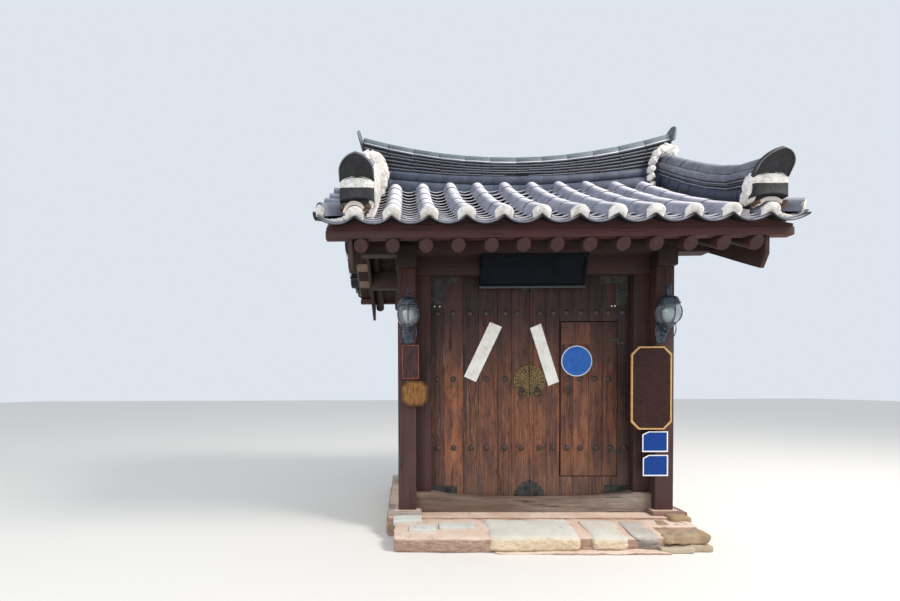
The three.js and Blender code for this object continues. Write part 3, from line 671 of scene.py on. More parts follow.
def roll_top(s):
    """Height of the tops of the round tiles at a distance from the ridge."""
    t = s / ROOF["run"]
    return ROOF["ridge_height"] - ROOF["fall"] * t - ROOF["sag"] * t * (1 - t)


def valley(s):
    return roll_top(s) - ROLL


def eave_board(front, steps=8):
    reach = int(1.71 / ROW_PITCH * steps)
    sections = []
    for x in [-EAVE_HALF] + [ROW_PITCH / steps * k for k in range(-reach, reach + 1)] + [EAVE_HALF]:
        off = (x + ROW_PITCH / 2) % ROW_PITCH - ROW_PITCH / 2
        level = (EAVE_CURVE * off * off if abs(x) < 1.78 else 0.0) - max(0.0, abs(x) - FIELD_HALF) * 0.1 - 0.054
        outer = [(1.396, rafter_over(1.396) + 0.060), (1.396, valley(1.396) + level)]
        inner = [(1.330, valley(1.330) + level), (1.330, rafter_over(1.330) + 0.060)]
        sections.append([(x, -front * s, z) for s, z in outer + inner])
    return drawn_through(sections)


eave_wood = timber_finish("eave_timber", 0, (40, 15, 16), (74, 34, 30), (92, 58, 50), 0.002, 0.15, 0.5)
for front, side in ((1, "front"), (-1, "rear")):
    low = rafter_over(1.405) + 0.0005
    y0, y1 = sorted((-front * 1.406, -front * 1.329))
    lath = block((-1.865, y0, low), (1.865, y1, low + 0.064), 0.004, 2, 0.2)
    piece(f"{side}_eave_boards", [eave_board(front), lath], eave_wood, replaces=(f"{side}_eave_board",))


# Gable boards: a broad board hangs outside the purlin ends on each slope. Short outriggers lie over it and carry
# thin soffit boards, with a bed of clay and lime for the tiles that run out over the gable.
CORNERS = [(x, y) for x in (1, -1) for y in (1, -1)]
clay = rock_finish("clay_bed", (150, 134, 114), (120, 98, 76), (88, 74, 60), 26, 0.006)
gable_wood = timber_finish("gable_timber", 1, (34, 18, 17), (66, 37, 31), (92, 72, 62), 0.003, 0.35, 0.8)
stubs, soffit = [], []
for x, y in CORNERS:
    tilt = turned(-y * math.atan(RISE), "X")
    x0, x1 = sorted((x * 1.644, x * 1.848))
    for k in range(1, 5):
        s = 1.340 - 0.285 * k
        part = block((x0, -0.036, 0.001), (x1, 0.036, 0.050), 0.006, 2, 0.1 * ((k * 7) % 5 - 2))
        stubs.append(moved(part, (0, y * s, rafter_over(s)), tilt))
    x0, x1 = sorted((x * 1.687, x * 1.856))
    y0, y1 = sorted((y * 0.01, y * 1.322 * SLANT))
    soffit.append(moved(block((x0, y0, 0.0455), (x1, y1, 0.0535), 0.002, 1, 0.1 * x), (0, 0, rafter_over(0)), tilt))
piece("outriggers", stubs, shaded_beam_wood)
piece("gable_soffit_boards", soffit, gable_wood)
for end in ("front", "rear"):
    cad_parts[f"{end}_roof_bed"].data.materials[0] = clay
    for side in ("left", "right"):
        hewn(f"bargeboard_{end}_{side}", gable_wood, edge=0.005)
        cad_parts[f"verge_board_{end}_{side}"].data.materials[0] = clay


# Roof tiles: grey clay fired in smoke, which leaves it blue-black. Faces turned towards the sun are painted paler, as
# painted sunlight; the lips that stick out carry a painted highlight, and undersides and gaps carry painted shade.
# Curved tiles lie in troughs, and round tiles cover the joints between.
def smoked_tile(name, dark, light, sunlit_share, sunlit_colour):
    """Smoked clay, painted paler where it faces the sun, as painted sunlight. The edge attribute of the points is
    above 0 where a highlight is painted on edges, and below 0 where shade is painted in undersides, gaps and mouths
    and on the dark joints.
    """
    material, tree, sockets = new_finish(name)
    coords, painted_light_and_joints = placed(tree), attribute(tree, "painted_light_and_joints")
    bloom = grain(coords, 22.0, 6, 0.7)
    value = grain(coords, 5.0, 5, 0.6) * 0.5 + bloom * 0.5 + attribute(tree, "tone") * 0.16
    colour = mixed(ramp(value, 0.36, 0.64), dark, light)
    # Painted sunlight: faces turned towards the sun are mixed towards the pale sunlit colour.
    sun = {0: placed(tree, "Normal"), 1: (0.45, -0.35, 0.82)}
    sunward = put("ShaderNodeVectorMath", sun, "Value", operation="DOT_PRODUCT")
    colour = mixed(ramp(sunward, 0.40, 0.92, 0.0, sunlit_share) * ramp(bloom, 0.3, 0.6, 0.7, 1.0), colour, sunlit_colour)
    colour = mixed(ramp(grain(coords, 30.0, 5, 0.7), 0.60, 0.70, 0.0, 0.35), colour, (72, 74, 82))
    # Painted highlight on edges marked above 0; painted shade in undersides, gaps and mouths marked below 0, which
    # also darkens the joints.
    colour = mixed(ramp(painted_light_and_joints, 0.0, 1.0), colour, (214, 212, 214))
    colour = mixed(ramp(painted_light_and_joints, 0.0, -1.0), colour, (14, 14, 20))
    skin = grain(coords, 240.0, 3, 0.6) * 0.5 + bloom
    coated(sockets, colour, ramp(bloom, 0.35, 0.7, 0.5, 0.75), skin, 0.0025, Specular_IOR_Level=0.4)
    return material


tile_clay = smoked_tile("smoked_tile", (100, 103, 117), (148, 150, 164), 1.0, (238, 232, 238))
slope_layout, group = new_layout(
    "tiles_on_a_slope", columns=12, column_pitch=ROW_PITCH, shift=0.0, courses=5, first=0.2, course_pitch=0.29,
    lift=0.0, upturn=0.0, dip=0.0, tip=0.0, slip=0.003, **ROOF,
)
_, index = rank(slope_layout, group["columns"])
column = maths("FLOORED_MODULO", index, group["columns"])
row = maths("FLOOR", (index + 0.5) / group["columns"])
across = (column - (group["columns"] - 1.0) * 0.5) * group["column_pitch"] + group["shift"]
down = row * group["course_pitch"] + group["first"]


def line_height(down):
    """Height of the laid line at a distance down the slope: a sagging fall, with an upturn and a dip of its own."""
    t = down / group["run"]
    height = group["ridge_height"] - group["fall"] * t - group["sag"] * t * (1.0 - t) + group["lift"]
    return height + group["upturn"] * maths("POWER", t, 5.0) - group["dip"] * (t * t)


height = line_height(down)
steep = (line_height(down - 0.05) - height) / 0.05
chance = random_value(-2.0, 2.0, group["seed"] + 5.0)
turn = combined(maths("ARCTANGENT", steep) + group["tip"], 0.0, chance * group["slip"])
place = combined(across, down * -1.0, height)
points = put("GeometryNodePoints", {"Count": group["columns"] * group["courses"], "Position": place})
points = shaken(points, combined(group["slip"], group["slip"]), group["seed"])
set_out(group, points, group["geometry"], turn)


def arch(length, radius, centre, foot, thickness, sides=10, taper=0.0015):
    """A round tile: half a tube along +Y with short straight legs, a little narrower at its upper end."""
    sections = []
    # Marks: the inner face is dark as painted shade, and the outer rim at the lower end a little dark as its joint.
    for y, shrink, outer, inner in ((0.0, 0.0012, -0.4, -1.0), (0.004, 0.0, 0.0, -1.0), (length, taper, 0.0, -1.0)):
        rows = []
        for r, mark in ((radius - shrink, outer), (radius - thickness - shrink, inner)):
            angles = [math.pi * i / sides for i in range(sides + 1)]
            bow = [(-r * math.cos(a), centre + r * math.sin(a)) for a in angles]
            rows.append([(x, y, z, mark) for x, z in [(-r, foot)] + bow + [(r, foot)]])
        sections.append(rows[0] + rows[1][::-1])
    return drawn_through(sections, "strips")


def curved_tile(length=0.22, half=0.1465, thickness=0.010, lips=(1.0, 0.7), sides=10, wings=0.0, curve=3.3):
    """A curved tile: a shallow trough along +Y. Its thick front edge carries a painted highlight, its underside and
    the top behind the edge carry painted shade, and wings darken it towards the sides.
    """
    sections = []
    for y, top, under, ease in ((0.0, *lips, 0.0015), (0.006, -0.2, -1.0, 0.0), (length, -1.0, -1.0, 0.0)):
        rows = []
        for level, mark in ((-ease, top), (ease - thickness, under)):
            shares = [-1 + 2 * i / sides for i in range(sides + 1)]
            rows.append([(half * u, y, curve * (half * u) ** 2 + level, mark - wings * abs(u) ** 3) for u in shares])
        sections.append(rows[0] + rows[1][::-1])
    return drawn_through(sections, "strips")


for rear, side in enumerate(("front", "rear")):
    trough = joined("curved_tile", [curved_tile()], tile_clay)
    laid(f"{side}_curved_tiles", slope_layout, trough, tile_clay, rear, replaces=(f"{side}_tile_field",),
         columns=11, courses=11, first=0.180, course_pitch=0.125, lift=-ROLL, tip=-0.20, slip=0.0025, seed=21 + rear,
         ridge_height=ROOF["ridge_height"] + 0.0515, fall=ROOF["fall"] + 0.0481)
    # The upper row of eave tiles has a fainter painted highlight on its front edge, and the lower row painted shade
    # on its edge.
    for k, (first, lift, lips) in enumerate(((1.455, 0.0065, (0.45, 0.15)), (1.480, 0.023, (-0.15, -0.7)))):
        eave = joined("eave_tile", [curved_tile(0.22, 0.1465, 0.015, lips, 14, 0.9, EAVE_CURVE)], tile_clay)
        laid(f"{side}_eave_tiles_{k + 1}", slope_layout, eave, tile_clay, rear,
             columns=13, courses=1, first=first, lift=-ROLL - lift, tip=-0.13, slip=0.0015, seed=25 + 2 * k + rear)
    cover = joined("round_tile", [arch(0.335, 0.078, 0.040, 0.012, 0.018)], tile_clay)
    laid(f"{side}_round_tiles", slope_layout, cover, tile_clay, rear,
         columns=ROWS, courses=5, first=1.446 - 4 * 0.292, course_pitch=0.292, lift=-ROLL, fall=0.884, slip=0.0025,
         seed=31 + rear)


# Lime plugs: white lime mortar pressed by hand into the open end of every row of round tiles
# and struck off over the lips below. No two are alike.
lime, tree, sockets = new_finish("lime_mortar")
coords = placed(tree)
finger = grain(coords, 38.0, 4, 0.6, 0.5)
colour = mixed(ramp(grain(coords, 14.0, 5, 0.65), 0.38, 0.62), (196, 190, 183), (232, 229, 225))
colour = mixed(ramp(finger, 0.56, 0.70, 0.0, 0.7), colour, (126, 118, 110))
colour = mixed(ramp(grain(coords, 6.0, 4, 0.6), 0.58, 0.74, 0.0, 0.5), colour, (196, 160, 132))
coated(sockets, colour, 0.95, grain(coords, 300.0, 2, 0.6) * 0.3 + finger, 0.004)


def plug(seed, bulge, steps=18, rings=7, half=0.0745, middle=0.072):
    """A domed half disc that closes a row: its top follows the round tile, its foot lies over the lips."""
    outline = []
    for k in range(steps + 1):
        x = half * math.cos(math.pi * k / steps)
        outline.append((x, 0.038 + math.sqrt(max(0.0, 0.0785 ** 2 - x * x))))
    for k in range(1, steps):
        x = -half + 2 * half * k / steps
        ragged = 0.007 * noise.noise(Vector((x * 60, seed, 0)))
        outline.append((x, EAVE_CURVE * (ROW_PITCH / 2 - abs(x)) ** 2 - 0.004 + ragged))
    sections = [[(x * 0.98, 0.030, z) for x, z in outline]]
    for ring in range(rings):
        share = ring / rings
        grow = math.sqrt(1 - share)
        section = []
        for x, z in outline:
            x, z = x * grow, middle + (z - middle) * grow
            skin = 0.004 * noise.noise(Vector((x * 28 + seed, z * 28, seed)))
            section.append((x, -0.002 - bulge * share ** 0.6 - skin * min(1, ring), z))
        sections.append(section)
    return drawn_through(sections, tip=(0.0, -0.002 - bulge, middle))


def lump(middle, size, seed, rough=0.18, detail=3):
    """A handful of mortar: a rounded mass with an uneven skin."""
    bm = bmesh.new()
    bmesh.ops.create_icosphere(bm, subdivisions=detail, radius=1)
    for v in bm.verts:
        p = v.co.copy()
        swell = noise.noise(p * 1.7 + Vector((seed, 0, 0))) + 0.5 * noise.noise(p * 4.5 + Vector((0, seed, 0)))
        v.co = Vector([m + c * s * (1 + rough * swell) for m, c, s in zip(middle, p, size)])
    return arrays(bm)


plugs = []
dice = random.Random(12)
for front, facing in ((1, 0.0), (-1, math.pi)):
    for i in range(ROWS):
        part = plug(i * 3.3 + front * 20, dice.uniform(0.012, 0.022))
        place = ((i - (ROWS - 1) / 2) * ROW_PITCH, -front * 1.447, valley(1.446) - 0.0215)
        plugs.append(moved(part, place, turned(facing, "Z") @ turned(0.43, "X")))
piece("lime_plugs", plugs, lime)


# Verges: a short round tile runs out over the gable at each outrigger, with curved tiles between, all falling
# a little outward. The lowest one turns towards the corner, and each open end is plugged with lime.
verge_clay = smoked_tile("verge_tile", (80, 84, 97), (122, 126, 139), 0.6, (184, 182, 192))
VERGE = {"columns": 1, "slip": 0.003, "courses": 4, "course_pitch": 0.285}


def run_out(name, part, side, fall=0.1):
    """Turns a tile that lies along the slope so that it runs out over the gable."""
    turn = turned(-side * fall, "Y") @ turned(side * math.pi / 2, "Z")
    return joined(name, [moved(moved(part, (0, -0.012, 0)), (0, 0, 0), turn)], verge_clay)


def round_plug(radius, seed):
    """A domed round plug in the open end of a tile, facing -Y."""
    return lump((0, 0, 0), (radius, 0.022, radius * 0.95), seed, 0.10)


verge_plugs, corner_tiles = [], []
for side, label in ((1, "right"), (-1, "left")):
    outward = turned(side * math.pi / 2, "Z")
    for rear, end in enumerate(("front", "rear")):
        sign, y = (-side, 1) if rear else (side, -1)
        roll = run_out("verge_round", arch(0.285, 0.064, 0.030, -0.014, 0.016, 10, 0.0), sign)
        laid(f"verge_round_{end}_{label}", slope_layout, roll, verge_clay, rear,
             replaces=(f"verge_tiles_{end}_{label}",), shift=sign * 1.972, first=0.200, lift=-ROLL + 0.010,
             seed=41 + side + rear, **VERGE)
        trough = run_out("verge_curved", curved_tile(0.30, 0.140, 0.022), sign)
        laid(f"verge_curved_{end}_{label}", slope_layout, trough, verge_clay, rear,
             shift=sign * 1.972, first=0.3425, lift=-ROLL - 0.012, seed=47 + side + rear, **VERGE)
        for k in range(4):
            s = 0.200 + 0.285 * k
            seed = k * 2.7 + side * 5 + y * 9
            verge_plugs.append(moved(round_plug(0.056, seed), (side * 1.972, y * s, valley(s) + 0.038), outward))
        facing = turned((math.pi if rear else 0.0) + sign * 0.92, "Z") @ turned(0.24, "X")
        place = (side * 1.902, y * 1.424, 2.766)
        corner_tiles.append(moved(arch(0.300, 0.066, 0.026, -0.030, 0.017, 12, 0.0), place, facing))
        verge_plugs.append(moved(round_plug(0.066, seed + 3), (*place[:2], place[2] + 0.020), facing))
        for k in range(5):
            place = (side * (1.690 + 0.042 * k), y * (1.452 - 0.012 * k), 2.712 + 0.004 * abs(k - 2) ** 2)
            verge_plugs.append(lump(place, (0.036, 0.020, 0.018), seed + 5 + k, 0.3))
piece("corner_tiles", corner_tiles, verge_clay)
piece("verge_plugs", verge_plugs, lime)


# The main ridge: two courses of round tiles on edge, then thin flat tiles bedded in mortar, more of them towards
# the ends so that the line sweeps up, then a cap of round tiles on a line of white lime.
# The core mortar is painted near black, as the shade in the gaps between the ridge courses.
ridge_mortar_in_shade = rock_finish("ridge_mortar_in_shade", (56, 56, 62), (44, 42, 46), (22, 22, 26), 40, 0.004)
RIDGE_HALF, LOW_LIFT, HIGH_LIFT = 1.680, 0.115, 0.235


def ridge_section(x):
    sweep = (x / RIDGE_HALF) ** 2
    low = [(0.140, 3.530), (0.120, 3.570), (0.108, 3.640), (0.096, 3.670)]
    high = [(0.096, 3.826), (0.070, 3.830), (0.060, 3.900)]
    side = [(0.140, valley(0.165) - 0.020)] + [(y, z + LOW_LIFT * sweep) for y, z in low]
    side += [(y, z + HIGH_LIFT * sweep) for y, z in high]
    return [(x, y, z) for y, z in side] + [(x, -y, z) for y, z in side[::-1]]


core = drawn_through([ridge_section(RIDGE_HALF * (k / 12 - 1)) for k in range(25)])
piece("ridge_core", [core], ridge_mortar_in_shade, replaces=("main_ridge",))
slate_tile = smoked_tile("ridge_tile", (76, 80, 90), (118, 122, 133), 0.7, (160, 164, 174))
dark_slate = smoked_tile("dark_ridge_tile", (32, 39, 54), (66, 74, 92), 0.5, (98, 105, 122))
flat_clay = smoked_tile("flat_tile", (32, 35, 46), (62, 66, 80), 0.4, (92, 95, 108))
green_cap = smoked_tile("cap_tile", (58, 68, 74), (94, 106, 112), 0.5, (122, 134, 138))
pale_line = smoked_tile("limed_edge", (176, 174, 184), (206, 202, 210), 0.5, (216, 212, 218))

ridge_layout, group = new_layout(
    "tiles_along_the_ridge", tiles=12, tile_length=0.280, half_length=RIDGE_HALF, height=3.6, lift=0.0,
    least_height=0.0, slip=0.002,
)
across, _ = rank(ridge_layout, group["tiles"])
across = across * group["tile_length"]
share = across / group["half_length"]
place = combined(across, 0.0, share * share * group["lift"] + group["height"])
points = put("GeometryNodePoints", {"Count": group["tiles"], "Position": place})
turn = combined(0.0, maths("ARCTANGENT", share * -2.0 * group["lift"] / group["half_length"]))
points = put("GeometryNodeStoreNamedAttribute", {"Geometry": points, "Name": "turn", "Value": turn},
             data_type="FLOAT_VECTOR", domain="POINT")
level = axis_of(put("GeometryNodeInputPosition", {}, tree=ridge_layout), "Z")
sunk = put("FunctionNodeCompare", {0: level, 1: group["least_height"]}, data_type="FLOAT", operation="LESS_THAN")
points = put("GeometryNodeDeleteGeometry", {"Geometry": points, "Selection": sunk})
points = shaken(points, combined(0.0, group["slip"], group["slip"] * 0.4), group["seed"])
turn = put("GeometryNodeInputNamedAttribute", {"Name": "turn"}, tree=ridge_layout, data_type="FLOAT_VECTOR")
set_out(group, points, group["geometry"], turn)


def half_round(radius, sides=8, squat=1.0):
    """Outline of a round tile seen from its end, as points from right to left over the top."""
    arc = [math.pi * i / sides for i in range(sides + 1)]
    return [(radius * math.cos(a), squat * radius * math.sin(a)) for a in arc]


def edge_round(y, radius, half, sides=8):
    """Outlines of two round tiles laid on edge against the core, bulging outward on both sides."""
    arc = [math.pi * (i / sides - 0.5) for i in range(sides + 1)]
    return [[(side * (y + radius * math.cos(a)), half * math.sin(a)) for a in arc] for side in (1, -1)]


def flat_slab(half, thick):
    side = [(half - 0.003, -thick), (half, 0.0), (half - 0.003, thick)]
    return side + [(-y, z) for y, z in side[::-1]]


def ridge_tile(outlines, length, finish, shrink=0.0, edge=0.0, joint=-0.5, turn=None, bevel=0.003):
    """A tile drawn along X from its outlines, centred, with a dark worn joint at its ends. Where an edge is asked
    for, the top corners farthest from the middle line carry a painted highlight."""
    parts = []
    half = length / 2
    stations = ((-half, 0.975, joint), (bevel - half, 1.0, 0.0), (half - bevel, 1.0 - shrink, 0.0),
                (half, 0.975 - shrink, joint))
    for outline in outlines:
        my, mz = np.mean(outline, axis=0)
        points, faces = drawn_through([
            [(x, my + (y - my) * scale, mz + (z - mz) * scale, mark) for y, z in outline]
            for x, scale, mark in stations
        ])
        if edge:
            out = np.abs(points[:, 1])
            chosen = (out > out.max() - 0.008) & (points[:, 2] > points[:, 2].max() - 0.002) & (points[:, 3] == 0)
            points[chosen, 3] = edge
        parts.append(moved((points, faces), (0, 0, 0), turn))
    return joined("ridge_tile", parts, finish)


def course(name, outlines, finish, tiles=12, length=0.280, shrink=0.0, edge=0.0, joint=-0.5, **sizes):
    tile = ridge_tile(outlines, length, finish, shrink, edge, joint)
    laid(name, ridge_layout, tile, finish, tiles=tiles, tile_length=length, **sizes)


for label, outlines, level, seed in (
    ("low", edge_round(0.128, 0.050, 0.074), 3.500, 51), ("second", edge_round(0.112, 0.036, 0.051), 3.624, 52),
):
    course(f"ridge_course_{label}", outlines, dark_slate, 12, 0.272, height=level, lift=LOW_LIFT, seed=seed)
for j in range(8):
    odd = j % 2
    course(f"ridge_flat_tiles_{j + 1}", [flat_slab(0.113 - 0.001 * odd, 0.008)], flat_clay, 12 + odd,
           0.279 - 0.0215 * odd, 0.0, 0.3, height=3.823 - 0.027 * j, lift=HIGH_LIFT - 0.018 * j, least_height=3.690,
           seed=60 + j, slip=0.005)
course("ridge_lime_line", [flat_slab(0.086, 0.008)], pale_line, height=3.845, lift=HIGH_LIFT, slip=0.0015, seed=71)
course("ridge_cap", [half_round(0.078, 12)], green_cap, 12, 0.282, 0.008, 0.0, -0.3,
       height=3.856, lift=HIGH_LIFT, seed=72, slip=0.0015)


# Side ridges: a base course of short round tiles, three thin layers, a thick rounded course and a cap, all running
# down beside the gables. Each ends over the eave in an upright pointed tile bedded in lime.
SIDE_X, SIDE_RUN = 1.60025, 1.462
SIDE_UPTURN, SIDE_DIP = 0.178, 0.110
FOOT = roll_top(SIDE_RUN)
HEAD_LEAN = 0.68


def side_lift(s):
    return SIDE_UPTURN * (s / SIDE_RUN) ** 5 - SIDE_DIP * (s / SIDE_RUN) ** 2


def side_section(s, x, y):
    lift = side_lift(s)
    low = -0.125 + 0.110 * min(1.0, max(0.0, (s - 1.30) / 0.07))
    half = [(0.088, low), (0.088, 0.085), (0.078, 0.090)]
    half += [(0.078, 0.205 + lift), (0.052, 0.222 + lift), (0.038, 0.262 + lift)]
    outline = half + [(0.0, 0.278 + lift)] + [(-u, h) for u, h in half[::-1]]
    return [(x * SIDE_X + u, y * s, roll_top(s) + h) for u, h in outline]


def head_packing(x, y, foot=0.172):
    """Mortar between the upright end of a side ridge and the tile that leans out from it."""
    sections = []
    for lean in (0, 1):
        section = []
        for u, h in ((-0.078, foot), (0.078, foot), (0.078, 0.270), (0.045, 0.325), (-0.045, 0.325), (-0.078, 0.270)):
            out, drop = lean * (h - foot) * math.sin(HEAD_LEAN), lean * (h - foot) * (1 - math.cos(HEAD_LEAN))
            section.append((x * SIDE_X + u, y * (1.455 + lean * 0.014 + out), FOOT + h - drop))
        sections.append(section)
    return drawn_through(sections)


cores = []
for x, y in CORNERS:
    cores.append(drawn_through([side_section(0.150 + 1.312 * k / 16, x, y) for k in range(17)]))
    cores.append(head_packing(x, y))
nodes = [f"side_ridge_{end}_{side}" for end in ("front", "rear") for side in ("left", "right")]
piece("side_ridge_cores", cores, ridge_mortar_in_shade, replaces=nodes)
side_courses = (
    ("base", edge_round(0.076, 0.030, 0.050), 0.030, 0.155, 9, 0.006, 0.75, dark_slate),
    ("thin_low", [flat_slab(0.101, 0.0055)], 0.094, 0.270, 5, 0.004, 0.85, slate_tile),
    ("thin_middle", [flat_slab(0.093, 0.006)], 0.117, 0.262, 5, 0.004, 0.90, dark_slate),
    ("thin_high", [flat_slab(0.102, 0.0055)], 0.138, 0.274, 5, 0.004, 0.95, slate_tile),
    ("thick", edge_round(0.076, 0.026, 0.030), 0.185, 0.275, 5, 0.008, 1.0, slate_tile),
    ("cap", [half_round(0.070, 10, 1.03)], 0.221, 0.240, 6, 0.012, 1.0, slate_tile),
)
for rear, end in enumerate(("front", "rear")):
    for k, (label, outlines, level, length, count, shrink, rise, finish) in enumerate(side_courses):
        edge = 0.15 if "thin" in label else 0.0
        overlap = 1.14 if label == "base" else 1.19
        tile = ridge_tile(outlines, length * overlap, finish, shrink, edge, -0.8, turned(math.pi / 2, "Z"))
        laid(f"side_ridge_{label}_{end}", slope_layout, tile, finish, rear,
             columns=2, column_pitch=2 * SIDE_X, courses=count, first=1.440 - length * (count - 0.5),
             course_pitch=length, lift=level, upturn=SIDE_UPTURN * rise, dip=SIDE_DIP * rise, slip=0.0025,
             seed=81 + 7 * k + rear)


# End tiles: upright pointed tiles that close the foot of each side ridge and both ends of the main ridge. Soot and
# rain have blackened them. Bands of lime and dark tile, a collar and clay packing bed them over the eave.
def end_tile(half, shoulder, height, thick, steps=9):
    """An upright end tile with a pointed round head, a thin raised rim and an arched foot, facing -Y."""
    foot = [(-half + half / 3 * i, 0.030 * math.sin(math.pi * i / 6)) for i in range(7)]
    rise = [i / steps for i in range(steps)]
    side = [(half * (1 - t ** 2.1) ** 0.7, shoulder + (height - shoulder) * t) for t in rise]
    outline = foot + side + [(0.0, height)] + [(-x, z) for x, z in reversed(side)]
    middle, face = (shoulder + height) * 0.42, -thick / 2
    sections = []
    # The raised rim is marked for a painted highlight and the recess inside it for painted shade; the foot takes no
    # highlight.
    for y, scale, mark in (
        (-face, 1.0, 0.0), (face + 0.002, 1.0, 0.3), (face, 0.985, 1.0), (face - 0.001, 0.945, 0.9),
        (face + 0.006, 0.925, -0.4), (face + 0.005, 0.45, 0.0),
    ):
        marks = [min(mark, 0.0) if i <= 6 else mark for i in range(len(outline))]
        sections.append([(x * scale, y, middle + (z - middle) * scale, m) for (x, z), m in zip(outline, marks)])
    return drawn_through(sections, tip=(0.0, face + 0.003, middle, 0.0))


soot_tile, tree, sockets = new_finish("sooty_tile")
coords = placed(tree)
streaks = grain(scaled(coords, 1, 1, 0.25), 30.0, 5, 0.65, 0.4)
clouds = grain(coords, 9.0, 5, 0.65)
colour = mixed(ramp(clouds, 0.38, 0.66), (12, 12, 16), (38, 39, 46))
colour = mixed(ramp(streaks, 0.56, 0.70, 0.0, 0.7), colour, (78, 58, 44))
# Painted highlight on the raised rim of the end tiles.
colour = mixed(ramp(attribute(tree, "painted_light_and_joints"), 0.0, 1.0, 0.0, 0.6), colour, (150, 148, 148))
coated(sockets, colour, ramp(streaks, 0.3, 0.7, 0.6, 0.85), clouds + streaks, 0.004)


def band(half, low, high, bulge, arch_low, arch_high, seed, rough=0.003, steps=14, levels=6):
    """A band that faces -Y, drawn across the foot of a side ridge, with arched or straight edges and a bowed face."""
    sections = []
    for level in range(levels + 1):
        row = []
        for u in [-1 + 2 * k / steps for k in range(steps + 1)]:
            bow = 1 - u * u
            z = low + arch_low * bow + ((high - low) + (arch_high - arch_low) * bow) * level / levels
            skin = rough * 2 * noise.noise(Vector((u * half * 22, z * 22, seed)))
            row.append((u * half, -bulge * math.sqrt(max(0.0, bow)) - skin, z))
        sections.append(row + [(x, 0.060, z) for x, _, z in reversed(row)])
    return drawn_through(sections, "strips")


def collar(seed, wide, start):
    """A crescent of mortar laid over the round tile under the foot of a side ridge, facing -Y."""
    arc = [math.radians(start + (180 - 2 * start) * i / 20) for i in range(21)]
    outline = [(wide * math.cos(a), 0.116 * math.sin(a)) for a in arc]
    outline += [((wide - 0.018) * math.cos(a), 0.084 * math.sin(a)) for a in reversed(arc)]
    sections = []
    for y, swell in ((0.060, 1.0), (0.006, 1.0), (0.000, 0.96)):
        rough = [0.005 * noise.noise(Vector((x * 18, y * 9 + seed, z * 18))) for x, z in outline]
        sections.append([(x * swell, y, z * swell + r) for (x, z), r in zip(outline, rough)])
    return drawn_through(sections)


heads, ridge_heads, beds, dark_bands, clay_bands, collars = [], [], [], [], [], []
for x, y in CORNERS:
    half_turn = turned(math.pi if y == 1 else 0.0, "Z")
    place = (x * SIDE_X, y * 1.482, FOOT + 0.172)
    heads.append(moved(end_tile(0.137, 0.068, 0.208, 0.034), place, half_turn @ turned(HEAD_LEAN, "X")))
    seed = 3 * x + 5 * y + 9.0
    place = (x * SIDE_X, y * 1.492, 0.0)
    beds.append(moved(band(0.134, 2.940, 2.992, 0.020, 0.0, 0.034, seed), place, half_turn))
    dark_bands.append(moved(band(0.136, 2.843, 2.945, 0.024, 0.020, -0.008, seed + 1, 0.002), place, half_turn))
    for k, (off, up) in enumerate(((-0.102, -0.020), (0.100, -0.024), (0.088, -0.050))):
        clay_bands.append(lump((x * 1.6225 + off, y * 1.452, FOOT + up), (0.024, 0.040, 0.022), seed + 2 + k, 0.45))
    shape = (0.136, 34) if x > 0 else (0.096, 14)
    collars.append(moved(collar(seed, *shape), (x * 1.6225, y * 1.478, FOOT - 0.090), half_turn))
    beds.append(lump((x * (SIDE_X - 0.118), y * 1.440, FOOT + 0.105), (0.040, 0.055, 0.105), seed, 0.25, 4))
    beds.append(lump((x * (SIDE_X - 0.108), y * 1.405, FOOT + 0.050), (0.036, 0.070, 0.070), seed + 4, 0.3, 4))
for x in (1, -1):
    turn = turned(x * 0.3, "Y") @ turned(x * math.pi / 2, "Z")
    ridge_heads.append(moved(end_tile(0.137, 0.070, 0.212, 0.026), (x * 1.684, 0, 4.045), turn))
old_clay = rock_finish("old_clay", (104, 82, 62), (66, 48, 36), (38, 28, 22), 26, 0.006)
rosy_lime = rock_finish("rosy_lime", (216, 206, 200), (206, 184, 174), (164, 142, 132), 40, 0.004)
piece("end_tiles", heads, soot_tile)
piece("ridge_end_tiles", ridge_heads, green_cap)
piece("end_tile_stands", dark_bands, soot_tile)
piece("end_tile_packing", clay_bands, old_clay)
piece("end_tile_collars", collars, rosy_lime)


# Lime at the ridges: lumps of mortar thrown by hand where the side ridges meet the main ridge, a coat along the
# inner face of the left side ridges, and a fillet where each side ridge meets the tiles. It has set uneven.
right_strip = ((1.420, 3.530, 0.030), (1.408, 3.615, 0.034), (1.412, 3.700, 0.036), (1.430, 3.785, 0.038),
               (1.465, 3.855, 0.042), (1.515, 3.892, 0.046), (1.575, 3.905, 0.054), (1.630, 3.880, 0.058))
left_mass = ((1.515, 3.500, 0.072), (1.495, 3.580, 0.084), (1.485, 3.660, 0.090), (1.495, 3.740, 0.088),
             (1.525, 3.800, 0.086), (1.575, 3.840, 0.080), (1.630, 3.850, 0.074))
for x, line, rough in ((1, right_strip, 0.25), (-1, left_mass, 0.22)):
    for y in (1, -1):
        for k, (across, z, size) in enumerate(line):
            seed = 11 * x + 4 * y + 30.0 + k * 1.9
            beds.append(lump((x * across, y * 0.185, z), (size, 0.055, size * 1.2), seed, rough, 4))
for y in (1, -1):
    sections = []
    for s in [0.24 + 1.20 * k / 20 for k in range(21)]:
        lift = side_lift(s)
        a, b, c, d = [0.012 * noise.noise(Vector((s * 16, h * 19, y))) for h in (1, 2, 3, 4)]
        corners = [(-1.530, -0.100), (-1.488 + a, -0.100), (-1.478 + b, 0.020), (-1.480 + c, 0.160),
                   (-1.500 + d, 0.250 + lift), (-1.545, 0.268 + lift)]
        sections.append([(x, y * s, roll_top(s) + h) for x, h in corners])
    beds.append(drawn_through(sections))
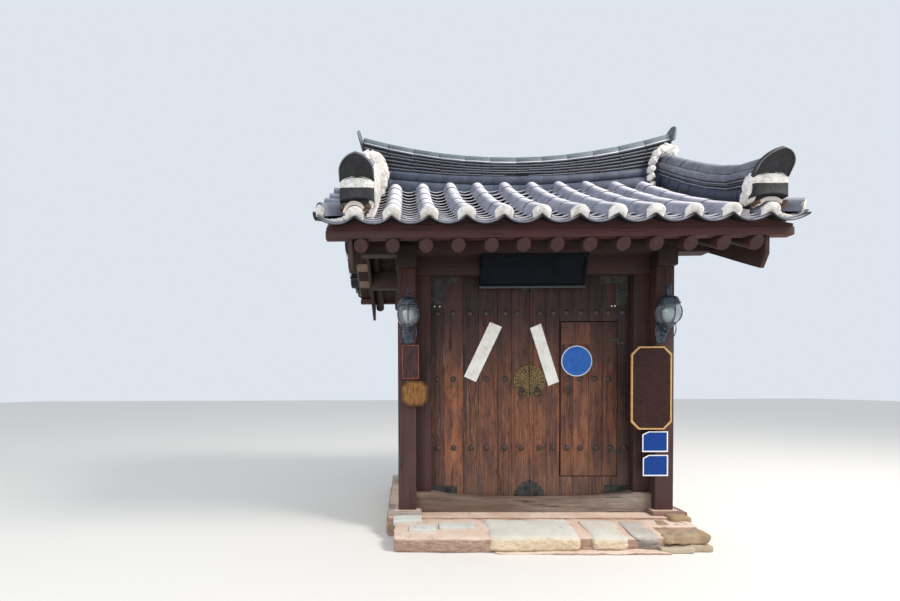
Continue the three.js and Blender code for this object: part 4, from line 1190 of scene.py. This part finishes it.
for x, y in CORNERS:
    sections = []
    for s in [0.20 + 1.20 * k / 24 for k in range(25)]:
        waver = 0.010 * noise.noise(Vector((s * 14, x * 3, y)))
        base = valley(s) + 0.0035 + 0.0481 * (1 - s / ROOF["run"])
        corners = ((1.515, -0.020), (1.478 + waver, -0.010), (1.480 + waver, 0.008), (1.500, 0.036 + waver),
                   (1.515, 0.036))
        sections.append([(x * a, y * s, base + b) for a, b in corners])
    beds.append(drawn_through(sections))
piece("lime_lumps", beds, lime)


# The gate: two leaves of thick pine planks nailed to battens, hung on wooden pins in the threshold and lintel.
# The planks darken towards their heads as painted shade under the eave, and rain has greyed their feet. The wicket is
# a door in a leaf.
door_wood, tree, sockets = new_finish("gate_planks")
coords, tone = placed(tree), attribute(tree, "tone")
shift = put("ShaderNodeCombineXYZ", {0: tone * 11.0, 2: tone * 11.0})
local = put("ShaderNodeVectorMath", {0: coords, 1: shift}, operation="ADD")
drawn = scaled(local, 1, 1, 0.05)
fibres = grain(drawn, 120.0, 6, 0.68)
rings = grain(drawn, 22.0, 5, 0.6, 1.1)
blotch = grain(scaled(local, 1, 1, 0.35), 5.0, 5, 0.65)
height = axis_of(coords, "Z")
value = ramp(rings * 0.6 + fibres * 0.4 + tone * 0.4, 0.34, 0.70)
# Lit and shaded colours of the same planks: the shaded one takes over towards their heads, as painted shade under the
# eave.
sunlit_planks = mixed(value, (48, 29, 27), (146, 88, 55))
shaded = mixed(value, (27, 17, 19), (70, 40, 36))
pale = ramp(fibres, 0.54, 0.66, 0.0, 0.65) * ramp(blotch, 0.42, 0.58)
sunlit_planks = mixed(pale, sunlit_planks, (178, 130, 98))
plum = ramp(grain(scaled(local, 1, 1, 0.25), 9.0, 4, 0.6), 0.48, 0.62, 0.0, 0.65)
sunlit_planks = mixed(plum, sunlit_planks, (66, 40, 38))
pits = ramp(grain(scaled(local, 1, 1, 0.30), 48.0, 5, 0.75), 0.53, 0.66, 0.0, 0.75)
colour = mixed(pits, mixed(ramp(height + blotch * 0.7, 1.60, 2.45), sunlit_planks, shaded), (30, 18, 17))
wet = ramp(height, 0.28, 0.75, 0.75, 0.0) * ramp(blotch, 0.3, 0.62)
colour = mixed(wet, colour, (104, 84, 74))
line = maths("ABSOLUTE", grain(scaled(local, 1, 1, 0.02), 16.0, 3, 0.5) - 0.5)
split = ramp(line, 0.0, 0.010, 1.0, 0.0) * ramp(grain(local, 2.4, 2), 0.47, 0.53)
colour = mixed(split * 0.75, colour, (26, 16, 13))
knots = put("ShaderNodeTexVoronoi", {"Vector": scaled(local, 1, 0.2, 0.45), "Scale": 5.5}, "Distance", feature="F1")
colour = mixed(ramp(knots, 0.03, 0.10, 0.8, 0.0), colour, (44, 24, 18))
coated(sockets, colour, ramp(fibres, 0.3, 0.7, 0.55, 0.85), fibres + rings - split * 2.5, 0.0022)

GATE_FRONT, GATE_BACK = -0.595, -0.563
LEAF_LOW, LEAF_TOP = 0.226, 2.498
PIN_X, PIN_Y = 1.003, -0.579
PLANK_CUT = 0.14


def plank(x0, x1, z0, z1, seed, tone, proud=0.0):
    """One gate plank, slightly cupped, with eased and worn edges."""
    bm = bmesh.new()
    bmesh.ops.create_cube(bm, size=1)
    for v in bm.verts:
        v.co = Vector((
            x0 + 0.0012 if v.co.x < 0 else x1 - 0.0012,
            GATE_FRONT - proud if v.co.y < 0 else GATE_BACK,
            z0 if v.co.z < 0 else z1,
        ))
    bmesh.ops.bevel(bm, geom=bm.edges[:], offset=0.0035, segments=2, profile=0.6, affect="EDGES")
    middle, half = (x0 + x1) / 2, (x1 - x0) / 2
    cut_across(bm, (0, 0, z0), 2, PLANK_CUT, int((z1 - z0) / PLANK_CUT))
    for v in bm.verts:
        edge = abs(v.co.x - middle) / half
        wear = noise.noise(Vector((v.co.x * 3 + seed, v.co.z * 4.0, seed)))
        v.co.x += -0.0022 * wear * (1 if v.co.x > middle else -1) * (edge > 0.8)
        if v.co.y < -0.58:
            v.co.y += 0.0012 * wear + 0.0010 * (1 - edge)
    bmesh.ops.triangulate(bm, faces=[f for f in bm.faces if len(f.verts) > 4])
    return arrays(bm) + (tone,)


def rod(x, y, radius, z0, z1, tone=0.0, sides=20):
    sections = [[(x + radius * c, y + radius * s, z) for c, s in circle(sides)] for z in (z0, z1)]
    return drawn_through(sections) + (tone,)


def behind(x0, x1, z0, z1, near=-0.001, far=0.045, edge=0.005, steps=2, tone=0.0):
    """A batten or strip nailed behind the planks."""
    return block((x0, GATE_BACK + near, z0), (x1, GATE_BACK + far, z1), edge, steps, tone)


dice = random.Random(31)
left_seams = [-PIN_X, -0.842, -0.656, -0.499, -0.314, -0.176, 0.0]
left_tones = [-0.22, 0.40, -0.12, 0.06, 0.0, 0.10]
left_leaf = [plank(a, b, LEAF_LOW, LEAF_TOP, k * 1.7, tone)
             for k, (a, b, tone) in enumerate(zip(left_seams, left_seams[1:], left_tones))]
# The outer plank of the right leaf has a low tone, as painted shade from the post and lantern.
right_leaf = [plank(a, b, LEAF_LOW, LEAF_TOP, seed, tone) for a, b, seed, tone in (
    (0.0, 0.166, 21.0, 0.13), (0.166, 0.296, 22.5, 0.02), (0.866, PIN_X, 24.0, -0.35))]
wicket_seams = [0.309, 0.429, 0.585, 0.721, 0.861]
seams_over = [0.296] + wicket_seams[1:4] + [0.866]
for k, (a, b) in enumerate(zip(seams_over, seams_over[1:])):
    right_leaf.append(plank(a, b, LEAF_LOW, 0.488, 30.0 + k, dice.uniform(-0.15, 0.1)))
    right_leaf.append(plank(a, b, 2.025, LEAF_TOP, 40.0 + k, dice.uniform(-0.2, 0.15)))
for side, leaf in ((-1, left_leaf), (1, right_leaf)):
    leaf.append(rod(side * PIN_X, PIN_Y, 0.0195, LEAF_LOW, LEAF_TOP, 0.2))
    leaf.append(rod(side * PIN_X, PIN_Y, 0.0148, LEAF_LOW - 0.040, LEAF_TOP + 0.045, 0.2))
for z in (0.780, 1.463, 2.107):
    left_leaf.append(behind(-0.973, -0.013, z - 0.042, z + 0.042, tone=0.3))
    for a, b in ((0.013, 0.296), (0.866, 0.973)) if z < 2.1 else ((0.013, 0.973),):
        right_leaf.append(behind(a, b, z - 0.042, z + 0.042, tone=-0.2))
wicket_tones = (0.16, 0.22, 0.04, -0.04)
wicket_planks = [plank(a, b, 0.496, 2.017, 50.0 + k, tone, 0.001)
                 for k, (a, b, tone) in enumerate(zip(wicket_seams, wicket_seams[1:], wicket_tones))]
wicket_planks += [behind(0.328, 0.842, z - 0.042, z + 0.042, tone=0.1) for z in (0.780, 1.463, 1.957)]
stops = [(a, b, 0.480, 2.036, 0.0065, 0.022) for a, b in ((0.280, 0.318), (0.849, 0.890))]
stops += [(0.280, 0.890, a, b, 0.0067, 0.0218) for a, b in ((0.470, 0.507), (2.006, 2.045))]
stops += [(a, b, c, c + 0.030, -0.001, 0.020) for a, b in ((0.250, 0.295), (0.865, 0.905)) for c in (0.455, 2.030)]
right_leaf += [behind(*row, 0.002, 1, -0.3) for row in stops]
wicket_planks += [block((a, GATE_FRONT - 0.0062, 1.795), (b, GATE_FRONT - 0.0012, 2.012), 0.0015, 1, 0.62)
                  for a, b in ((0.312, 0.452), (0.455, 0.600))]
piece("gate_planks_left", left_leaf, door_wood, "left_leaf", ("door_leaf_left",))
piece("gate_planks_right", right_leaf, door_wood, "right_leaf", ("door_leaf_right",))
piece("wicket_planks", wicket_planks, door_wood, "wicket", ("wicket_door",))


# Wicket hinges: two strap hinges of forged iron whose knuckles stand in front of the planks.
# The sleeves belong to the leaf, and the pins to the small door.
def worn_finish(name, grains, detail, rough, low, high, dark, light, gloss, relief, **constants):
    """A finish with one worn pattern: two colours, and a roughness that follows it."""
    material, tree, sockets = new_finish(name)
    worn = grain(placed(tree), grains, detail, rough)
    colour = mixed(ramp(worn, low, high), dark, light)
    coated(sockets, colour, ramp(worn, 0.3, 0.7, *gloss), worn, relief, **constants)
    return material


iron, tree, sockets = new_finish("forged_iron")
coords = placed(tree)
hammer = grain(coords, 70.0, 4, 0.6)
colour = mixed(ramp(grain(coords, 34.0, 5, 0.7), 0.5, 0.68, 0.0, 0.75), (74, 70, 68), (104, 76, 60))
coated(sockets, colour, ramp(hammer, 0.3, 0.7, 0.42, 0.7), hammer, 0.0015, Metallic=0.7)
HINGE_X, HINGE_Y = 0.8635, -0.605
sleeves, pins = [], []
for z in (0.690, 1.790):
    profile = ((0.008, z), (0.008, z + 0.030), (0.0045, z + 0.030), (0.0045, z))
    knuckle = [[(HINGE_X + r * c, HINGE_Y + r * s, h) for c, s in circle(20)] for r, h in profile]
    sleeves += [drawn_through(knuckle, "loop"), block((0.867, -0.601, z), (0.9385, -0.594, z + 0.030), 0.0015)]
    pins.append(rod(HINGE_X, HINGE_Y, 0.008, z + 0.031, z + 0.061))
    pins.append(rod(HINGE_X, HINGE_Y, 0.004, z, z + 0.036))
    pins.append(block((0.7885, -0.602, z + 0.031), (0.860, -0.594, z + 0.061), 0.0015))
piece("wicket_hinge_sleeves", sleeves, iron, "right_leaf")
piece("wicket_hinge_pins", pins, iron, "wicket")


# Gate nails: dome-headed forged nails in three rows, one or two to a plank, driven through into the battens.
# The wicket carries its own share of two of the rows.
nail_layout, group = new_layout("nails_at_points", head_radius=0.028, head_height=0.017)
ball = put("GeometryNodeMeshUVSphere", {"Segments": 12, "Rings": 8, "Radius": 1.0}, tree=nail_layout)
head_size = combined(group["head_radius"], group["head_height"], group["head_radius"])
set_out(group, group["geometry"], ball, (0.0, 0.0, 0.0), head_size)
FACE = GATE_FRONT - 0.001
ROW_LOW, ROW_MIDDLE, ROW_TOP = 0.774, 1.458, 2.110
nail_rows = {
    ("left", "left_leaf", FACE): (
        (ROW_LOW, (-0.905, -0.749, -0.578, -0.424, -0.244, -0.080)), (ROW_MIDDLE, (-0.910, -0.754, -0.424, -0.238)),
        (ROW_TOP, (-0.905, -0.754, -0.583, -0.424, -0.236, -0.115))),
    ("right", "right_leaf", FACE): (
        (ROW_LOW, (0.100, 0.236, 0.935)), (ROW_TOP, (0.105, 0.236, 0.363, 0.505, 0.655, 0.775, 0.915))),
    ("wicket", "wicket", FACE - 0.001): (
        (ROW_LOW, (0.368, 0.500, 0.655, 0.800)), (ROW_MIDDLE, (0.375, 0.495, 0.640, 0.775))),
}
for (label, body, y), rows in nail_rows.items():
    places = bpy.data.meshes.new("nail_places")
    places.from_pydata([(x, y, z) for z, row in rows for x in row], [], [])
    laid(f"gate_nails_{label}", nail_layout, places, iron, body=body, seed=5)


# Gate ornaments: a round brass plate in two halves across the seam with a ring pull on each half, notched plates at
# the head and foot of the seam, and iron straps over the outer corners. All are thin castings nailed to the planks.
old_brass, tree, sockets = new_finish("old_brass")
coords = placed(tree)
tarnish = grain(coords, 26.0, 5, 0.7)
scratches = grain(coords, 140.0, 3, 0.6)
colour = mixed(ramp(tarnish, 0.36, 0.62), (98, 80, 50), (156, 128, 82))
colour = mixed(ramp(scratches, 0.52, 0.66, 0.0, 0.7), colour, (48, 44, 36))
PLATE_Z, RING_GAP, SPOKES = 1.437, 0.024, 22
up, over = axis_of(coords, "Z") - PLATE_Z, axis_of(coords, "X")
reach = maths("SQRT", up * up + over * over)
spokes = maths("SINE", maths("ARCTAN2", up, over) * SPOKES)
chased = maths("SINE", reach * (2 * math.pi / RING_GAP)) + spokes * ramp(reach, 0.05, 0.09)
colour = mixed(ramp(chased, -1.1, 0.1, 0.8, 0.0), colour, (34, 29, 22))
coated(sockets, colour, ramp(tarnish, 0.3, 0.7, 0.45, 0.75), tarnish + scratches + chased, 0.0018, Metallic=0.35)
green_iron = worn_finish("green_iron", 18.0, 5, 0.7, 0.36, 0.62, (36, 34, 37), (76, 75, 71), (0.5, 0.8), 0.001,
                         Metallic=0.4)


def plate(outline, y, thick, rim=0.0015):
    """A flat plate that faces -Y from an outline of [across, up] points, with its front edge eased."""
    mx, mz = np.mean(outline, axis=0)
    reach = max(math.hypot(x - mx, z - mz) for x, z in outline)
    sections = []
    for depth, scale in ((y, 1.0), (y - thick + rim, 1.0), (y - thick, 1 - rim / reach)):
        sections.append([(mx + (x - mx) * scale, depth, mz + (z - mz) * scale) for x, z in outline])
    return drawn_through(sections)


def half_disc(side, z, profile, steps=28):
    """Half of a round plate beside the seam, drawn through [radius, height] points, with petals round its edge."""
    sections = []
    for radius, height in profile:
        section = []
        for a in [math.pi * (k / steps - 0.5) for k in range(steps + 1)]:
            r = radius * (1 - 0.045 * abs(math.sin(SPOKES / 2 * a))) if radius > 0.12 else radius
            section.append((side * max(0.003, r * math.cos(a)), FACE - height, z + r * math.sin(a)))
        sections.append(section)
    return drawn_through(sections)


def disc(x, z, y, profile, steps=40):
    """A round plate that faces -Y, drawn through [radius, height] points."""
    return drawn_through([[(x + r * c, y - h, z + r * s) for c, s in circle(steps)] for r, h in profile])


def hoop(x, y, z, radius, wire):
    """A ring of round bar that hangs flat against the gate."""
    sections = []
    for c, s in circle(24):
        bar = [(radius + wire * u, wire * v) for u, v in circle(8)]
        sections.append([(x + r * c, y + out, z + r * s) for r, out in bar])
    return drawn_through(sections, "loop")


seam_plate = [(0.160, 0.0), (0.160, 0.003), (0.156, 0.006), (0.146, 0.006), (0.140, 0.003), (0.122, 0.003),
              (0.117, 0.006), (0.108, 0.006), (0.103, 0.003), (0.066, 0.003), (0.061, 0.006), (0.052, 0.006),
              (0.047, 0.003), (0.024, 0.003), (0.018, 0.009), (0.004, 0.011)]
notched = [(0.003, 0.000), (0.150, 0.000), (0.157, 0.018), (0.136, 0.040), (0.148, 0.066), (0.116, 0.080),
           (0.120, 0.110), (0.082, 0.116), (0.074, 0.144), (0.038, 0.148), (0.003, 0.178)]
knob = [(0.030, 0.006), (0.030, 0.009), (0.020, 0.014), (0.016, 0.022), (0.008, 0.028), (0.002, 0.030)]
corner_straps = {
    -1: ([(-0.974, 2.479), (-0.974, 2.202), (-0.828, 2.202), (-0.828, 2.403), (-0.704, 2.403), (-0.704, 2.479)],
         [(-0.971, 0.396), (-0.971, 0.308), (-0.718, 0.308), (-0.718, 0.396)]),
    1: ([(0.964, 2.485), (0.689, 2.485), (0.689, 2.395), (0.845, 2.395), (0.845, 2.180), (0.964, 2.180)],
        [(0.990, 0.404), (0.741, 0.404), (0.741, 0.327), (0.990, 0.327)]),
}
for side, label in ((-1, "left"), (1, "right")):
    body = f"{label}_leaf"
    fans = [plate([(side * x, z + way * up) for x, up in notched], FACE, 0.0035)
            for z, way in ((0.285, 1), (2.470, -1))]
    x, z = side * 0.078, 1.349
    pulls = [disc(x, z, FACE, knob, 16), hoop(x, FACE - 0.019, z - 0.030, 0.036, 0.0055)]
    piece(f"round_plate_{label}", [half_disc(side, PLATE_Z, seam_plate)], old_brass, body)
    piece(f"fan_plates_{label}", fans, green_iron, body)
    piece(f"ring_pulls_{label}", pulls, iron, body)
    piece(f"corner_straps_{label}", [plate(shape, FACE, 0.003) for shape in corner_straps[side]], green_iron, body)


# Small gate hardware: a ring latch and a round enamelled plate on the wicket, bright flat screws, and two blank
# strips of paper pasted across the planks.
latch = [disc(0.379, 1.372, FACE - 0.001, [(0.026, 0.0), (0.026, 0.003), (0.012, 0.008), (0.002, 0.012)], 18)]
latch.append(hoop(0.379, FACE - 0.014, 1.340, 0.034, 0.005))
piece("wicket_ring_latch", latch, iron, "wicket")

enamel, tree, sockets = new_finish("blue_enamel")
dull = grain(placed(tree), 30.0, 4, 0.6)
colour = mixed(ramp(dull, 0.4, 0.7), (10, 82, 164), (26, 104, 188))
colour = mixed(ramp(attribute(tree, "tone"), 0.5, 0.6), colour, mixed(dull, (196, 204, 214), (232, 234, 238)))
coated(sockets, colour, ramp(dull, 0.3, 0.7, 0.3, 0.5), dull, 0.0004)
x, z, y = 0.462, 1.632, FACE - 0.0075
field = disc(x, z, y, [(0.143, 0.0), (0.143, 0.0032), (0.060, 0.0045), (0.004, 0.0050)])
rim = disc(x, z, y + 0.001, [(0.151, 0.0), (0.152, 0.0015), (0.151, 0.003), (0.1425, 0.0036), (0.004, 0.0036)])
piece("round_enamel_plate", [rim + (1.0,), field], enamel, "wicket")

zinc, tree, sockets = new_finish("bright_zinc")
dull = grain(placed(tree), 90.0, 3, 0.6)
colour = mixed(ramp(dull, 0.35, 0.7), (236, 236, 238), (178, 180, 184))
coated(sockets, colour, ramp(dull, 0.3, 0.7, 0.3, 0.55), dull, 0.0)
for label, z, row in (("left", 2.178, (-0.936, -0.884)), ("right", 2.171, (0.807, 0.8385, 0.994))):
    heads = [disc(x, z, FACE, [(0.0085, 0.0), (0.0080, 0.0020), (0.0020, 0.0028)], 12) for x in row]
    piece(f"screws_{label}", heads, zinc, f"{label}_leaf")

paper, tree, sockets = new_finish("pasted_paper")
coords = placed(tree)
stain = grain(coords, 16.0, 5, 0.65)
fibre = grain(coords, 300.0, 3, 0.6)
colour = mixed(ramp(stain, 0.42, 0.72), (240, 238, 232), (214, 204, 188))
coated(sockets, mixed(ramp(fibre, 0.55, 0.75, 0.0, 0.3), colour, (190, 180, 166)), 0.9, stain + fibre, 0.0006)


def strip(corners, seed, steps=18):
    """A strip of paper between two [across, up] corners at its top and two at its foot, buckled a little."""
    (a, b), (c, d) = np.array(corners)
    sections = []
    for t in [k / steps for k in range(steps + 1)]:
        left, right = a + (c - a) * t, b + (d - b) * t
        lift = 0.0012 + 0.0012 * noise.noise(Vector((t * 7, seed, 0)))
        curl = 0.0014 * (1 + noise.noise(Vector((t * 11, seed, 3))))
        row = [(left, lift + curl), ((left + right) / 2, lift), (right, lift + curl * 0.7)]
        front = [(p[0], FACE - h - 0.0005, p[1]) for p, h in row]
        sections.append(front + [(p[0], FACE - h, p[1]) for p, h in reversed(row)])
    return drawn_through(sections)


left_paper = strip((((-0.389, 2.022), (-0.271, 1.972)), ((-0.646, 1.485), (-0.528, 1.430))), 2.0)
right_paper = strip((((0.006, 1.958), (0.112, 2.003)), ((0.186, 1.387), (0.292, 1.430))), 5.0)
piece("paper_strip_left", [left_paper], paper, "left_leaf")
piece("paper_strip_right", [right_paper], paper, "right_leaf")


# Plates on the posts: two small wooden plaques at the left, a tall framed board at the right, and two small
# enamelled plates under it. All are blank, screwed flat against the front of the posts.
POST_FACE = -0.7953


def framed(outline, thick, border, rise=0.002):
    """A board with a raised border, as two parts: the field, tone 0, and the border, tone 1."""
    outline = np.array(outline)
    middle = outline.mean(axis=0)
    inner = middle + (outline - middle) * (1 - border / (np.ptp(outline, axis=0) / 2))
    top, y = POST_FACE - thick, POST_FACE
    rings = ((outline, y), (outline, top - rise + 0.001), (outline, top - rise), (inner, top - rise),
             (inner, top + 0.001))
    edge = drawn_through([[(x, depth, z) for x, z in shape] for shape, depth in rings])
    return [edge + (1.0,), plate(inner, y - 0.001, thick - 0.001)]


def two_tone(name, field, border, stretch=(1, 1, 0.2), rough=0.5):
    """A painted or stained board whose border, tone 1, has its own colour. Each colour is a dark and a light."""
    material, tree, sockets = new_finish(name)
    worn = grain(scaled(placed(tree), *stretch), 60.0, 5, 0.65)
    inside, outside = (mixed(ramp(worn, 0.36, 0.66), *pair) for pair in (field, border))
    colour = mixed(ramp(attribute(tree, "tone"), 0.45, 0.55), inside, outside)
    coated(sockets, colour, ramp(worn, 0.3, 0.7, rough - 0.1, rough + 0.15), worn, 0.0008, Specular_IOR_Level=0.2)
    return material


def chamfered(x0, x1, z0, z1, cut):
    return [(x0 + cut, z0), (x1 - cut, z0), (x1, z0 + cut), (x1, z1 - cut), (x1 - cut, z1), (x0 + cut, z1),
            (x0, z1 - cut), (x0, z0 + cut)]


plum_wood = two_tone("plum_plaque", ((52, 34, 36), (78, 54, 54)), ((110, 58, 42), (142, 82, 60)))
gold_wood = two_tone("gold_plaque", ((98, 62, 32), (150, 106, 58)), ((78, 50, 28), (110, 74, 42)))
sign_paint = two_tone("brown_sign", ((38, 19, 17), (58, 31, 27)), ((176, 134, 82), (206, 166, 116)), (1, 1, 1), 0.45)
blue_paint = two_tone("blue_plate", ((6, 46, 116), (12, 64, 142)), ((214, 216, 222), (238, 238, 240)), (1, 1, 1), 0.4)
piece("upper_plaque", framed(chamfered(-1.258, -1.098, 1.458, 1.780, 0.006), 0.016, 0.010), plum_wood)
piece("lower_plaque", framed(chamfered(-1.268, -1.014, 1.202, 1.440, 0.055), 0.020, 0.018), gold_wood)
piece("tall_sign_board", framed(chamfered(0.892, 1.269, 0.974, 1.753, 0.070), 0.014, 0.014), sign_paint)
upper_plate = [(1.003, 0.761), (1.242, 0.761), (1.242, 0.955), (1.060, 0.955), (1.003, 0.925)]
lower_plate = [(1.009, 0.534), (1.244, 0.534), (1.244, 0.733), (1.062, 0.733), (1.009, 0.703)]
plates = framed(upper_plate, 0.004, 0.010, 0.0015) + framed(lower_plate, 0.004, 0.010, 0.0015)
piece("blue_plates", plates, blue_paint)


# The name board: a black lacquered board in a moulded frame, hung leaning out over the doorway on a thin ledge.
# Its field is plain, and the lacquer is rubbed dull along its length.
lacquer, tree, sockets = new_finish("black_lacquer")
coords = placed(tree)
rubbed = grain(scaled(coords, 0.1, 1, 1), 60.0, 4, 0.6)
colour = mixed(ramp(grain(coords, 6.0, 4, 0.6), 0.35, 0.7), (7, 10, 18), (17, 21, 33))
colour = mixed(ramp(rubbed, 0.6, 0.75, 0.0, 0.3), colour, (44, 47, 52))
coated(sockets, colour, ramp(rubbed, 0.3, 0.7, 0.5, 0.75), rubbed, 0.001, Specular_IOR_Level=0.12)
hung = {"place": (0.000, -0.7004, 2.500), "turn": turned(0.31, "X")}
moulding = ((0.505, 0.155, -0.001), (0.505, 0.155, -0.034), (0.502, 0.152, -0.040), (0.494, 0.144, -0.041),
            (0.488, 0.138, -0.036), (0.480, 0.130, -0.036), (0.476, 0.126, -0.026))
board = drawn_through([[(x * w, y, z * h) for x, z in ((-1, -1), (1, -1), (1, 1), (-1, 1))] for w, h, y in moulding])
piece("name_board_panel", [moved(board, **hung)], lacquer, replaces=("name_board",))
ledge_wood = timber_finish("ledge_timber", 0, (36, 42, 44), (66, 72, 74), (92, 94, 92), 0.001, 0.3, 0.3)
ledge = block((-0.510, -0.047, -0.163), (0.510, -0.003, -0.143), 0.003, 2)
piece("name_board_ledge", [moved(ledge, **hung)], ledge_wood)


# Lanterns: cast metal wall lamps, with a domed cap and finial, a ribbed glass in a cage and a scrolled arm.
# Each is screwed to the front of a post. The right one has lost its spike.
lamp_metal = worn_finish("lamp_metal", 55.0, 5, 0.65, 0.42, 0.68, (52, 58, 68), (104, 110, 122), (0.35, 0.6), 0.0008,
                         Metallic=0.6)
glass, tree, sockets = new_finish("lamp_glass")
smear = ramp(grain(placed(tree), 40.0, 4, 0.6), 0.4, 0.7, 0.02, 0.12)
tree.links.new(smear.socket, sockets["Roughness"])
for key, value in (("Base Color", (0.72, 0.77, 0.80, 1)), ("Transmission Weight", 0.9), ("IOR", 1.45)):
    sockets[key].default_value = value
bulb, tree, sockets = new_finish("lamp_bulb")
tree.links.new(mixed(grain(placed(tree), 30.0, 3), (226, 228, 230), (246, 246, 244)).socket, sockets["Base Color"])
sockets["Roughness"].default_value = 0.35


def lathed(outline, place, sides=24, flute=0.0, flutes=8):
    """A shape turned on a lathe from [radius, z] points, closed top and bottom, with flutes if asked."""
    x, y, z = place
    swell = [1 + flute * math.cos(flutes * 2 * math.pi * i / sides) for i in range(sides)]
    return drawn_through([
        [(x + r * w * c, y + r * w * s, z + h) for w, (c, s) in zip(swell, circle(sides))] for r, h in outline
    ])


def smooth_path(corners, steps=6):
    """Points on a smooth curve through the corners."""
    c = [Vector(p) for p in corners]
    c = [c[0] * 2 - c[1]] + c + [c[-1] * 2 - c[-2]]
    path = []
    for a, b, d, e in zip(c, c[1:], c[2:], c[3:]):
        for t in [k / steps for k in range(steps)]:
            square, cube = 2 * a - 5 * b + 4 * d - e, 3 * b - a - 3 * d + e
            path.append(0.5 * (2 * b + (d - a) * t + square * t * t + cube * t ** 3))
    return path + [c[-2]]


def bent_bar(corners, radius, steps=6):
    """A round bar that follows a smooth path, thinner at both ends."""
    path = smooth_path(corners, steps)
    n = len(path)
    sections = []
    for k, p in enumerate(path):
        ahead = (path[min(k + 1, n - 1)] - path[max(k - 1, 0)]).normalized()
        side = ahead.cross(Vector((1, 0, 0)))
        side = side.normalized() if side.length > 1e-3 else Vector((0, 0, 1))
        over = side.cross(ahead)
        r = radius * min(1.0, 0.35 + 2.6 * min(k, n - 1 - k) / n)
        sections.append([tuple(p + side * r * c + over * r * s) for c, s in circle(8)])
    return drawn_through(sections)


cap = [(0.086, 0.222), (0.098, 0.228), (0.098, 0.238), (0.088, 0.243), (0.085, 0.262), (0.074, 0.284), (0.052, 0.297),
       (0.030, 0.302)]
spike = [(0.020, 0.312), (0.024, 0.322), (0.015, 0.336), (0.009, 0.366), (0.002, 0.398)]
stub = [(0.021, 0.306), (0.021, 0.320), (0.025, 0.324), (0.025, 0.392), (0.022, 0.396)]
cup = [(0.002, -0.022), (0.012, -0.018), (0.014, -0.006), (0.009, 0.002), (0.016, 0.012), (0.038, 0.022),
       (0.054, 0.034), (0.066, 0.044), (0.068, 0.052), (0.058, 0.056)]
globe = [(0.060, 0.052), (0.080, 0.072), (0.097, 0.104), (0.104, 0.138), (0.103, 0.168), (0.095, 0.198),
         (0.082, 0.226)]
pear = [(0.016, 0.056), (0.018, 0.078), (0.040, 0.104), (0.052, 0.136), (0.050, 0.164), (0.036, 0.186),
        (0.002, 0.196)]
shield = [(0, 0.078), (0.030, 0.070), (0.050, 0.046), (0.056, 0.006), (0.052, -0.050), (0.036, -0.104),
          (0.020, -0.116), (0, -0.120)]
shield += [(-u, v) for u, v in reversed(shield[1:-1])]
scroll = [(0, 0.010, 1.880), (0, 0.030, 1.850), (0, 0.062, 1.846), (0, 0.082, 1.866), (0, 0.076, 1.892),
          (0, 0.055, 1.896), (0, 0.052, 1.880)]
arm = [(0, 0.012, 1.940), (0, 0.036, 1.905), (0, 0.070, 1.880), (0, 0.105, 1.880), (0, 0.119, 1.900)]
hook = [(0, 0.012, 1.965), (0, 0.030, 1.985), (0, 0.050, 1.975), (0, 0.046, 1.950), (0, 0.032, 1.950)]
ear = [(0.062, 0.119, 1.950), (0.076, 0.112, 1.905), (0.070, 0.090, 1.840), (0.036, 0.060, 1.796), (0, 0.020, 1.788)]
metal_parts, glass_parts, bulb_parts = [], [], []
for x, finial in ((-1.200, spike), (1.168, stub)):
    base = (x, POST_FACE - 0.119, 1.900)
    metal_parts += [lathed(cap + finial, base, 32), lathed(cup, base, 32, 0.03)]
    glass_parts.append(lathed(globe + [(r - 0.003, z) for r, z in reversed(globe)], base, 48))
    bulb_parts.append(lathed(pear, base))
    for a in [math.pi / 3 * k + math.pi / 6 for k in range(6)]:
        over, out = math.cos(a), math.sin(a)
        rib = [(x + (r + 0.003) * over, base[1] + (r + 0.003) * out, base[2] + z) for r, z in globe]
        metal_parts.append(bent_bar(rib, 0.0045, 3))
    metal_parts.append(drawn_through([
        [(x + u * across, POST_FACE - out, base[2] + v * tall) for u, v in shield]
        for out, across, tall in ((0.0, 1, 1), (0.010, 1, 1), (0.015, 0.8, 0.98))
    ]))
    bars = ((scroll, 0.006, 1), (arm, 0.009, 1), (hook, 0.005, 1), (ear, 0.0045, -1), (ear, 0.0045, 1))
    for path, bar, side in bars:
        metal_parts.append(bent_bar([(x + side * u, POST_FACE - out, z) for u, out, z in path], bar))
piece("lantern_metal", metal_parts, lamp_metal, replaces=("lantern_left", "lantern_right"))
piece("lantern_glass", glass_parts, glass)
piece("lantern_bulbs", bulb_parts, bulb)

size = {"cad": [list(map(float, corner)) for corner in cad_box], "visual": [list(map(float, corner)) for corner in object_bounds()]}
